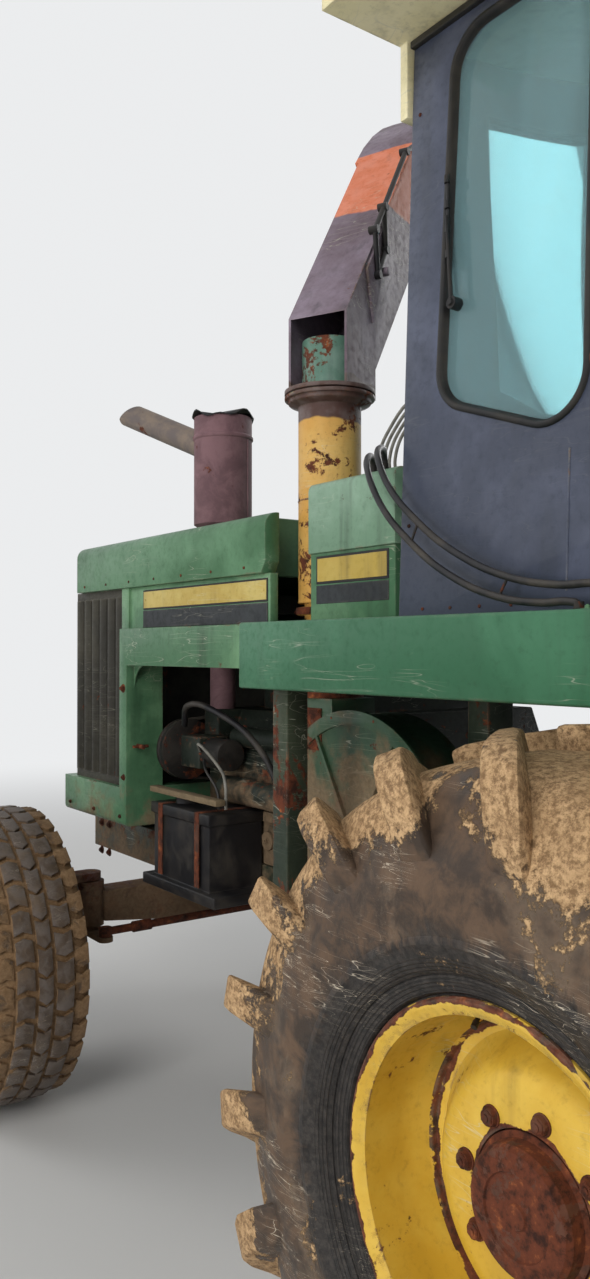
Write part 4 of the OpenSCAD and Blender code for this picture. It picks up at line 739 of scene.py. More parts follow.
def softened(node: str, finish: Finish, width: float = 0.003) -> bpy.types.Object:
    """Stands a copy of a CAD node with rounded edges in the node's place."""
    bm = merged_copy(node)
    round_edges(bm, width)
    return finish_piece(node + "_dressed", bm, BODY_OF[node], finish, (node,))


def add_block(bm: bmesh.types.BMesh, low: Vector, high: Vector) -> list[bmesh.types.BMVert]:
    """Adds a box between two corners and returns its vertices."""
    low, high = Vector(low), Vector(high)
    size = high - low
    matrix = Matrix.Translation((low + high) / 2) @ Matrix.Diagonal((*size, 1.0))
    return bmesh.ops.create_cube(bm, size=1.0, matrix=matrix)["verts"]


def turned_to(direction: Vector) -> Matrix:
    """Gives the turn that takes Z to a direction."""
    return Vector(direction).to_track_quat("Z", "Y").to_matrix().to_4x4()


def add_rod(bm: bmesh.types.BMesh, start: Vector, end: Vector, radius: float,
            segments: int = 20, radius_end: float | None = None) -> list[bmesh.types.BMVert]:
    """Adds a capped round bar, or a cone, and returns its vertices."""
    start, end = Vector(start), Vector(end)
    matrix = Matrix.Translation((start + end) / 2) @ turned_to(end - start)
    return bmesh.ops.create_cone(bm, cap_ends=True, segments=segments, radius1=radius,
                                 radius2=radius if radius_end is None else radius_end,
                                 depth=(end - start).length, matrix=matrix)["verts"]


def add_hex(bm: bmesh.types.BMesh, foot: Vector, direction: Vector, radius: float,
            height: float, washer: bool = True) -> None:
    """Adds a hexagonal bolt head with its washer and the end of its thread."""
    direction = Vector(direction).normalized()
    foot = Vector(foot)
    if washer:
        add_rod(bm, foot, foot + direction * height * 0.22, radius * 1.45, 24)
    head = add_rod(bm, foot, foot + direction * height, radius, 6)
    top = [e for v in head for e in v.link_edges
           if all((w.co - foot).dot(direction) > height * 0.9 for w in e.verts)]
    bmesh.ops.bevel(bm, geom=list(set(top)), offset=radius * 0.14, offset_type="OFFSET",
                    affect="EDGES", segments=1, profile=0.5, material=-1, clamp_overlap=True)
    add_rod(bm, foot + direction * height, foot + direction * height * 1.35, radius * 0.5, 12)


def spun(bm: bmesh.types.BMesh, profile: list[tuple[float, float]], centre: Vector,
         axis: Vector, steps: int) -> None:
    """Spins a closed profile of radius and place along the axis into a ring.

    Args:
        bm: The mesh that the ring is added to.
        profile: Pairs of radius and place, going round the section.
        centre: A point of the axis, from which places are counted.
        axis: Direction of the axis.
        steps: Number of steps in a full turn.
    """
    axis = Vector(axis).normalized()
    out = UP if abs(axis.z) < 0.9 else Vector((1, 0, 0))
    ring = [bm.verts.new(Vector(centre) + out * r + axis * a) for r, a in profile]
    edges = [bm.edges.new((v, ring[(i + 1) % len(ring)])) for i, v in enumerate(ring)]
    bmesh.ops.spin(bm, geom=ring + edges, cent=centre, axis=axis, steps=steps,
                          angle=math.tau, use_merge=True, use_duplicate=False)
    bmesh.ops.remove_doubles(bm, verts=bm.verts, dist=1e-6)
    bmesh.ops.recalc_face_normals(bm, faces=bm.faces)


def swept(name: str, points: list[Vector], radius: float, body: str,
          finish: Finish, replaces: tuple[str, ...] = (), rings: int = 6) -> bpy.types.Object:
    """Makes a round tube along a smooth curve through points and returns its object."""
    curve = bpy.data.curves.new(name, "CURVE")
    curve.dimensions = "3D"
    spline = curve.splines.new("BEZIER")
    spline.bezier_points.add(len(points) - 1)
    for point, place in zip(spline.bezier_points, points):
        point.co = place
        point.handle_left_type = point.handle_right_type = "AUTO"
    curve.resolution_u = rings
    curve.bevel_depth = radius
    curve.bevel_resolution = 3
    curve.use_fill_caps = True
    holder = bpy.data.objects.new(name + "_curve", curve)
    bpy.context.scene.collection.objects.link(holder)
    depsgraph = bpy.context.evaluated_depsgraph_get()
    mesh = bpy.data.meshes.new_from_object(holder.evaluated_get(depsgraph))
    bpy.data.objects.remove(holder)
    bm = bmesh.new()
    bm.from_mesh(mesh)
    bpy.data.meshes.remove(mesh)
    bmesh.ops.remove_doubles(bm, verts=bm.verts, dist=1e-5)
    bmesh.ops.recalc_face_normals(bm, faces=bm.faces)
    return finish_piece(name, bm, body, finish, replaces, 50.0)


def ring_copies(bm: bmesh.types.BMesh, parts: list[object], centre: Vector, axis: Vector,
                count: int, start: float = 0.0) -> None:
    """Repeats geometry round an axis, with the first piece turned to its start angle."""
    whole = Matrix.Translation(centre) @ Matrix.Rotation(math.tau / count, 4, axis) \
        @ Matrix.Translation(-Vector(centre))
    if start:
        turn = Matrix.Translation(centre) @ Matrix.Rotation(start, 4, axis) \
            @ Matrix.Translation(-Vector(centre))
        verts = [p for p in parts if isinstance(p, bmesh.types.BMVert)]
        bmesh.ops.transform(bm, matrix=turn, verts=verts)
    for _ in range(count - 1):
        made = bmesh.ops.duplicate(bm, geom=parts)["geom"]
        bmesh.ops.transform(bm, matrix=whole,
                            verts=[g for g in made if isinstance(g, bmesh.types.BMVert)])
        parts = made


def pour(part: bmesh.types.BMesh, bm: bmesh.types.BMesh) -> None:
    """Adds one bmesh to another and frees it."""
    held = bpy.data.meshes.new("part")
    part.to_mesh(held)
    part.free()
    bm.from_mesh(held)
    bpy.data.meshes.remove(held)


def geometry_of(verts: list[bmesh.types.BMVert]) -> list[object]:
    """Gathers vertices with all their edges and faces."""
    edges = {e for v in verts for e in v.link_edges}
    faces = {f for v in verts for f in v.link_faces}
    return list(verts) + list(edges) + list(faces)


# Wheels


@dataclass
class Wheel:
    """A tyre on its rim, at the place of its CAD nodes."""

    end: str
    side: str
    hub_bolts: int = 8
    bolt_circle: float = 0.149
    bolt_radius: float = 0.017
    bolt_phase: float = 0.628
    hub_radius: float = 0.112
    turns: int = 120
    # share of the rise from rim to tip, and share of the width
    wall: tuple[tuple[float, float], ...] = ()

    def __post_init__(self) -> None:
        """Reads the wheel's place and sizes from the frame."""
        self.tyre_node = f"{self.end}_tyre_{self.side}"
        self.rim_node = f"{self.end}_rim_{self.side}"
        low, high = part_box(self.tyre_node)
        rim_low, rim_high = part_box(self.rim_node)
        self.outward = 1.0 if self.side == "left" else -1.0
        self.radius = (high.z - low.z) / 2
        self.centre = Vector(((low.x + high.x) / 2, (rim_low.y + rim_high.y) / 2,
                              (low.z + high.z) / 2))
        self.width = high.y - low.y
        self.rim_radius = (rim_high.z - rim_low.z) / 2
        self.rim_width = rim_high.y - rim_low.y
        self.body = BODY_OF[self.tyre_node]
        self.axis = Vector((0, self.outward, 0))

    def place_tyre(self, bm: bmesh.types.BMesh, material: bpy.types.Material) -> None:
        """Finishes the tyre's mesh in its CAD node's place."""
        piece = finish_piece(self.tyre_node + "_dressed", bm, self.body,
                             Finish.SEAL, (self.tyre_node,), 30.0)
        piece.data.materials[0] = material

    def casing(self) -> bmesh.types.BMesh:
        """Spins the casing: bead, rings on the sidewall, bulge, shoulder and crown."""
        rim, rise, w = self.rim_radius, self.radius - self.rim_radius, self.width
        seat = self.rim_width / 2 - 0.0125
        half = [(rim - 0.021, seat - 0.001), (rim + 0.003, seat), (rim + 0.008, seat + 0.009),
                (rim + 0.02, seat + 0.0135), (rim + 0.026, seat + 0.018),
                (rim + 0.033, seat + 0.0195), (rim + 0.038, seat + 0.0185)]
        half += [(rim + share * rise, across * w) for share, across in self.wall]
        bm = bmesh.new()
        spun(bm, half + [(r, -a) for r, a in reversed(half)], self.centre, self.axis, self.turns)
        return bm

    def rim(self, dish: float, hub_rise: float, hub_reach: float) -> None:
        """Makes the rim with its rolled flanges, well, dished disc, hub, bolts and valve.

        Args:
            dish: Place of the disc outside the wheel's middle.
            hub_rise: Place of the raised ring that the bolts stand on.
            hub_reach: Place of the hub's outer face.
        """
        r, w = self.rim_radius, self.rim_width / 2
        seat = r - 0.0223
        wall = 0.009
        outer = [(r - 0.008, -w), (r, -w + 0.006), (r, -w + 0.0118), (seat, -w + 0.0119),
                 (seat, -w / 2), (seat - 0.026, -w * 0.4), (seat - 0.026, w * 0.25),
                 (seat, w * 0.4), (seat, w - 0.0119), (r, w - 0.0118), (r, w - 0.006),
                 (r - 0.004, w - 0.001), (r - 0.009, w), (r - 0.015, w - 0.003)]
        inside = [(seat - wall, w - 0.014), (seat - wall - 0.002, w * 0.62),
                  (seat - wall - 0.004, w * 0.42), (seat - wall - 0.022, w * 0.3),
                  (seat - wall - 0.028, dish + 0.028), (seat - wall - 0.034, dish + 0.013),
                  (seat - wall - 0.052, dish + 0.009)]
        ring = self.bolt_circle + 0.052
        inside += [(ring + 0.06, dish + 0.016), (ring + 0.028, hub_rise - 0.02),
                   (ring + 0.008, hub_rise - 0.002), (ring - 0.012, hub_rise),
                   (self.hub_radius + 0.013, hub_rise), (self.hub_radius + 0.011, hub_rise - 0.012)]
        back = [(self.hub_radius + 0.011, hub_rise - 0.018), (ring - 0.01, hub_rise - 0.018),
                (ring + 0.05, dish + 0.004), (seat - wall - 0.052, dish - 0.004),
                (seat - wall - 0.028, dish - 0.01), (seat - wall - 0.028, -w * 0.42),
                (seat - wall, -w / 2 - 0.004)]
        bm = bmesh.new()
        spun(bm, outer + inside + back, self.centre, self.axis, self.turns)
        piece = finish_piece(self.rim_node + "_dressed", bm, self.body, Finish.RIM,
                             (self.rim_node,), 38.0)
        rusty = replace(Finish.RIM.value, name=f"{self.end} rim {self.side}",
                        axle=tuple(self.centre), rings=(
                            (r - 0.004, 0.011), (seat - wall - 0.034, 0.014),
                            (self.hub_radius + 0.012, 0.012)))
        piece.data.materials[0] = rusty.build()
        hub = bmesh.new()
        edge = self.hub_radius
        cap = [(0.0, hub_rise - 0.016), (edge + 0.01, hub_rise - 0.016), (edge + 0.01, hub_rise),
               (edge, hub_rise + 0.004), (edge * 0.97, hub_reach - 0.012),
               (edge * 0.9, hub_reach - 0.003), (edge * 0.62, hub_reach), (edge * 0.6, hub_reach - 0.004),
               (edge * 0.2, hub_reach - 0.004), (edge * 0.17, hub_reach), (0.0, hub_reach)]
        spun(hub, cap, self.centre, self.axis, 64)
        self.add_bolts(hub, hub_rise)
        finish_piece(self.rim_node + "_hub", hub, self.body, Finish.RUSTY)
        self.add_valve(seat - wall - 0.004, w * 0.42)

    def add_bolts(self, bm: bmesh.types.BMesh, face: float) -> None:
        """Adds the rusty wheel bolts in their dished seats."""
        for k in range(self.hub_bolts):
            angle = self.bolt_phase + math.tau * k / self.hub_bolts
            foot = self.centre + self.axis * face + self.bolt_circle * Vector(
                (math.cos(angle), 0, math.sin(angle)))
            add_rod(bm, foot - self.axis * 0.001, foot + self.axis * 0.003,
                    self.bolt_radius * 1.15, 24)
            add_rod(bm, foot + self.axis * 0.002, foot + self.axis * 0.012,
                    self.bolt_radius, 20, self.bolt_radius * 0.86)
            add_hex(bm, foot + self.axis * 0.01, self.axis, self.bolt_radius * 0.8, 0.006,
                    washer=False)

    def add_valve(self, radius: float, place: float) -> None:
        """Adds the valve stem with its cap on the rim's barrel."""
        bm = bmesh.new()
        angle = math.radians(118)
        out = Vector((math.cos(angle), 0, math.sin(angle)))
        foot = self.centre + self.axis * place + out * (radius - 0.002)
        lean = (self.axis * 0.8 - out * 0.6).normalized()
        add_rod(bm, foot, foot + lean * 0.02, 0.0085, 16, 0.006)
        add_rod(bm, foot + lean * 0.02, foot + lean * 0.038, 0.0045, 12)
        add_rod(bm, foot + lean * 0.034, foot + lean * 0.048, 0.0062, 12)
        finish_piece(self.rim_node + "_valve", bm, self.body, Finish.BLACK)


@dataclass
class DriveWheel(Wheel):
    """A drive wheel with tall slanting lugs."""

    lugs: int = 18
    phase: float = 2.5
    wall: tuple[tuple[float, float], ...] = (
        (0.11, 0.442), (0.17, 0.462), (0.20, 0.471), (0.21, 0.476), (0.23, 0.476), (0.24, 0.473),
        (0.33, 0.484), (0.42, 0.483), (0.52, 0.468), (0.60, 0.45), (0.68, 0.432), (0.75, 0.412),
        (0.81, 0.385), (0.85, 0.345), (0.875, 0.28), (0.888, 0.19), (0.896, 0.08))
    lug_rows: tuple[tuple[float, ...], ...] = (
        # foot below the tip, foot across, top below the tip, top across, angle, half angle
        (0.072, -0.02, 0.0, -0.02, 0.5, 1.9), (0.075, 0.10, 0.001, 0.11, -3.4, 2.15),
        (0.077, 0.24, 0.003, 0.25, -9.0, 2.5), (0.10, 0.31, 0.006, 0.36, -12.8, 2.7),
        (0.135, 0.35, 0.015, 0.43, -15.2, 3.4), (0.16, 0.39, 0.036, 0.472, -16.8, 3.7),
        (0.19, 0.41, 0.07, 0.492, -17.9, 3.95), (0.22, 0.43, 0.12, 0.496, -18.8, 4.1),
        (0.25, 0.44, 0.18, 0.488, -19.4, 3.9))

    def one_lug(self, bm: bmesh.types.BMesh) -> None:
        """Draws one lug as sections joined from the crown out over the shoulder."""
        loops = []
        for foot, foot_at, top, top_at, angle, half in self.lug_rows:
            corners = []
            for drop, across, turn in ((foot, foot_at, -1.2), (top, top_at, -0.82),
                                       (top, top_at, 0.82), (foot, foot_at, 1.2)):
                a = math.radians(angle + half * turn)
                r = self.radius - drop
                corners.append(bm.verts.new(self.centre + Vector(
                    (r * math.cos(a), -across * self.width, r * math.sin(a)))))
            loops.append([bm.edges.new((corners[i], corners[(i + 1) % 4])) for i in range(4)])
            if len(loops) in (1, len(self.lug_rows)):
                bm.faces.new(corners)
        for near, far in zip(loops, loops[1:]):
            bmesh.ops.bridge_loops(bm, edges=near + far)
        bmesh.ops.recalc_face_normals(bm, faces=bm.faces)
        edges = [e for e in bm.edges if e.calc_face_angle(0.0) > math.radians(36)]
        bmesh.ops.bevel(bm, geom=edges, offset=0.008, offset_type="OFFSET", affect="EDGES",
                        segments=2, profile=0.5, material=-1, clamp_overlap=True)

    def build(self) -> None:
        """Makes the tyre and the rim."""
        bm = self.casing()
        for row in (0, 1):
            lug = bmesh.new()
            self.one_lug(lug)
            if row:
                flip = Matrix.Translation(self.centre) @ Matrix.Diagonal((1, -1, 1, 1)) \
                    @ Matrix.Translation(-self.centre)
                bmesh.ops.transform(lug, matrix=flip, verts=lug.verts)
                bmesh.ops.recalc_face_normals(lug, faces=lug.faces)
            # a turn about Y runs from Z to X, against the way the lugs are counted
            start = -math.radians(self.phase + row * 180 / self.lugs)
            ring_copies(lug, geometry_of(list(lug.verts)), self.centre, Vector((0, 1, 0)),
                        self.lugs, start)
            pour(lug, bm)
        self.place_tyre(bm, Rubber(f"{self.end} tyre {self.side}", tuple(self.centre),
                                   self.rim_radius, self.radius, self.radius - 0.2).build())
        self.rim(0.072, 0.15, 0.19)


@dataclass
class SteerWheel(Wheel):
    """A steered wheel with rows of staggered tread blocks."""

    blocks: int = 36
    tread: float = 0.016
    hub_bolts: int = 6
    bolt_circle: float = 0.1
    bolt_radius: float = 0.014
    hub_radius: float = 0.062
    wall: tuple[tuple[float, float], ...] = (
        (0.15, 0.40), (0.25, 0.44), (0.35, 0.465), (0.45, 0.484), (0.55, 0.494), (0.65, 0.497),
        (0.72, 0.493), (0.79, 0.48), (0.85, 0.455), (0.895, 0.415), (0.925, 0.35), (0.94, 0.25),
        (0.948, 0.1))
    # place across, width across, share of the pitch, and start as a share of the pitch
    rows: tuple[tuple[float, float, float, float], ...] = (
        (0.0, 0.05, 0.8, 0.0), (-0.07, 0.062, 0.76, 0.5), (0.07, 0.062, 0.76, 0.5),
        (-0.136, 0.054, 0.7, 0.05), (0.136, 0.054, 0.7, 0.05))

    def one_block(self, bm: bmesh.types.BMesh, across: float, width: float,
                  share: float) -> None:
        """Adds one tread block, bent like an arrow, with rounded upper edges."""
        pitch = math.tau * self.radius / self.blocks
        drop = 0.013 * (abs(across) / 0.136) ** 3
        top = self.radius - 0.0005 - drop
        foot = self.radius - 2.6 * self.tread - drop
        place = self.centre + Vector((0, across, 0))
        add_block(bm, place + Vector((foot, -width / 2, -pitch * share / 2)),
                  place + Vector((top, width / 2, pitch * share / 2)))
        lengthwise = [e for e in bm.edges if abs(e.verts[0].co.y - e.verts[1].co.y) > width / 2]
        bmesh.ops.subdivide_edges(bm, edges=lengthwise, cuts=1)
        for v in bm.verts:
            local = (v.co.y - place.y) / (width / 2)
            v.co.z += pitch * (0.16 * abs(local) - 0.08) * (1 if across >= 0 else -1)
            reach = math.hypot(v.co.x - self.centre.x, v.co.z - self.centre.z)
            if reach > self.radius - 0.0004:
                shrink = (self.radius - 0.0004) / reach
                v.co.x = self.centre.x + (v.co.x - self.centre.x) * shrink
                v.co.z = self.centre.z + (v.co.z - self.centre.z) * shrink
        upper = [e for e in bm.edges if e.calc_face_angle(0.0) > math.radians(30)
                 and all(v.co.x - self.centre.x > foot + 0.01 for v in e.verts)]
        bmesh.ops.bevel(bm, geom=upper, offset=0.004, offset_type="OFFSET", affect="EDGES",
                        segments=2, profile=0.5, material=-1, clamp_overlap=True)

    def build(self) -> None:
        """Makes the tyre and the rim."""
        bm = self.casing()
        for across, width, share, start in self.rows:
            block = bmesh.new()
            self.one_block(block, across, width, share)
            ring_copies(block, geometry_of(list(block.verts)), self.centre, Vector((0, 1, 0)),
                        self.blocks, start * math.tau / self.blocks)
            pour(block, bm)
        self.place_tyre(bm, Rubber(f"{self.end} tyre {self.side}", tuple(self.centre),
                                   self.rim_radius, self.radius, self.radius - 0.06,
                                   caked=0.15, stain="#43362c", mud="#8e7355", groove=self.tread).build())
        self.rim(0.002, 0.02, 0.05)


# Sub-assemblies


@dataclass
class Chassis:
    """Frame rails, axles, steering and drawbar plate, with their bolts and oil lines."""

    bolt: float = 0.013
    rail_nodes: tuple[str, ...] = ("main_rails", "drawbar_plate", "deck_posts", "lift_lugs")

    def build(self) -> None:
        """Dresses the chassis."""
        for node in self.rail_nodes:
            softened(node, Finish.CHASSIS, 0.004)
        softened("drive_axle", Finish.CHASSIS, 0.006)
        softened("steer_axle", Finish.AXLE, 0.005)
        for side in ("right", "left"):
            softened("knuckle_" + side, Finish.AXLE, 0.004)
        softened("tie_rod", Finish.RUSTY, 0.002)
        self.final_drive_bolts()
        self.rail_bolts()
        self.ram_lines()

    def final_drive_bolts(self) -> None:
        """Rings the flange of each final drive with bolts."""
        bm = bmesh.new()
        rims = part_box("drive_rim_left")
        axle_low, axle_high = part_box("drive_axle")
        centre_z = middle("drive_rim_left").z
        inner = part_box("main_rails")[1].y + 0.185
        del rims, axle_low, axle_high
        for sign in (1, -1):
            for k in range(12):
                angle = math.tau * k / 12
                foot = Vector((AXLE_X + 0.168 * math.cos(angle), sign * inner,
                               centre_z + 0.168 * math.sin(angle)))
                add_hex(bm, foot, (0, -sign, 0), 0.011, 0.012)
        finish_piece("final_drive_bolts", bm, "chassis", Finish.RUSTY)

    def rail_bolts(self) -> None:
        """Sets bolts in rows along the outer faces of the rails, clear of the brackets."""
        bm = bmesh.new()
        low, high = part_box("main_rails")
        for sign in (1, -1):
            face = high.y if sign > 0 else low.y
            for x in (low.x + 0.08, low.x + 0.16, AXLE_X - 1.52, AXLE_X - 1.44, AXLE_X - 0.4,
                      AXLE_X - 0.3):
                for z in (low.z + 0.035, high.z - 0.035):
                    add_hex(bm, (x, face, z), (0, sign, 0), self.bolt, 0.012)
        finish_piece("rail_bolts", bm, "chassis", Finish.RUSTY)

    def ram_lines(self) -> None:
        """Leads two thin oil lines from the steering ram up to the rails."""
        low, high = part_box("steer_axle")
        x = high.x - 0.03
        for index, y in enumerate((-0.16, 0.16)):
            z = low.z + 0.13
            points = [Vector((x, y, z)), Vector((x + 0.02, y, z + 0.07)),
                      Vector((x + 0.08, y * 1.5, z + 0.14)), Vector((x + 0.14, y * 2.4, z + 0.17)),
                      Vector((x + 0.17, y * 3.2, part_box("main_rails")[0].z + 0.03))]
            swept(f"ram_line_{index}", points, 0.007, "chassis", Finish.HOSE)


@dataclass
class Hood:
    """Engine hood, its panels, slats, plates, bolts and latch."""

    strip_height: float = 0.158
    plate_height: float = 0.074
    plate_gap: float = 0.015
    border: float = 0.006
    plate_length: float = 0.84
    strip_inset: float = 0.02

    def build(self) -> None:
        """Dresses the hood."""
        softened("hood_roof", Finish.HOOD, 0.006)
        softened("bay_panels", Finish.GREEN, 0.004)
        softened("grilles", Finish.SLAT, 0.0025)
        softened("radiator", Finish.CORE, 0.004)
        low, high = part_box("hood_roof")
        self.front, self.under = high.x, low.z
        self.face = (high.y - low.y) / 2
        self.side_plates()
        self.post_fittings()
        self.roof_seams(low, high)

    def side_plates(self) -> None:
        """Hangs a blank yellow plate with a dark border over a dark strip on each side."""
        face = self.face - self.strip_inset
        x1 = self.front - 0.012
        x0 = x1 - self.plate_length
        plates, borders, strips = bmesh.new(), bmesh.new(), bmesh.new()
        top = self.under - self.plate_gap
        for sign in (1, -1):
            def panel(bm: bmesh.types.BMesh, a: tuple[float, float], b: tuple[float, float],
                      lift: float) -> None:
                """Adds a thin bevelled panel between two corners of the side face."""
                ys = sorted((sign * (face - 0.001), sign * (face + lift)))
                part = bmesh.new()
                add_block(part, (a[0], ys[0], a[1]), (b[0], ys[1], b[1]))
                bmesh.ops.bevel(part, geom=part.edges[:], offset=0.0008, offset_type="OFFSET",
                                affect="EDGES", segments=1, profile=0.5, material=-1)
                held = bpy.data.meshes.new("panel")
                part.to_mesh(held)
                part.free()
                bm.from_mesh(held)
                bpy.data.meshes.remove(held)

            panel(borders, (x0, top - self.plate_height), (x1, top), 0.0025)
            panel(plates, (x0 + self.border, top - self.plate_height + self.border),
                  (x1 - self.border, top - self.border), 0.004)
            panel(strips, (x0, self.under - self.strip_height + 0.002),
                  (x1, top - self.plate_height - 0.003), 0.003)
            for x in (x0 + 0.02, x1 - 0.02):
                add_rod(plates, (x, sign * (face + 0.003), top - self.plate_height / 2),
                        (x, sign * (face + 0.006), top - self.plate_height / 2), 0.004, 12)
        finish_piece("hood_plate_borders", borders, "chassis", Finish.BLACK)
        finish_piece("hood_plates", plates, "chassis", Finish.YELLOW)
        finish_piece("hood_strips", strips, "chassis", Finish.DARK)

    def post_fittings(self) -> None:
        """Adds the corner post's bolt, its latch and the sill's bolts on both sides."""
        bm = bmesh.new()
        sill_low, sill_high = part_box("bay_panels")
        post_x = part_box("grilles")[1].x + 0.045
        for sign in (1, -1):
            face = sign * self.face
            add_hex(bm, (post_x, face - sign * 0.002, 1.56), (0, sign, 0), 0.012, 0.012)
            add_hex(bm, (post_x + 0.005, face - sign * 0.002, 1.215), (0, sign, 0), 0.009, 0.01)
            add_rod(bm, (post_x + 0.02, face - sign * 0.05, 1.335),
                    (post_x + 0.075, face - sign * 0.05, 1.335), 0.009, 16)
            add_rod(bm, (post_x + 0.045, face - sign * 0.085, 1.335),
                    (post_x + 0.045, face - sign * 0.02, 1.335), 0.006, 12)
            for x in (sill_low.x + 0.06, sill_low.x + 0.3, sill_low.x + 0.54):
                add_hex(bm, (x, face - sign * 0.002, 1.06), (0, sign, 0), 0.008, 0.008)
        del sill_high
        finish_piece("hood_fittings", bm, "chassis", Finish.RUSTY)

    def roof_seams(self, low: Vector, high: Vector) -> None:
        """Adds the folded seam strips across the roof and the screws along its lower edges."""
        bm = bmesh.new()
        y = self.face - 0.06
        for x in (low.x + 0.42, low.x + 0.95):
            add_block(bm, (x - 0.012, -y, high.z - 0.002), (x + 0.012, y, high.z + 0.0035))
        bmesh.ops.bevel(bm, geom=bm.edges[:], offset=0.002, offset_type="OFFSET", affect="EDGES",
                        segments=2, profile=0.5, material=-1)
        finish_piece("hood_seams", bm, "chassis", Finish.HOOD)
        screws = bmesh.new()
        for sign in (1, -1):
            for k in range(7):
                x = low.x + 0.08 + k * (high.x - low.x - 0.2) / 6
                foot = Vector((x, sign * (self.face - 0.0005), low.z + 0.022))
                add_rod(screws, foot, foot + Vector((0, sign * 0.003, 0)), 0.0055, 12, 0.0042)
        finish_piece("hood_screws", screws, "chassis", Finish.RUSTY)


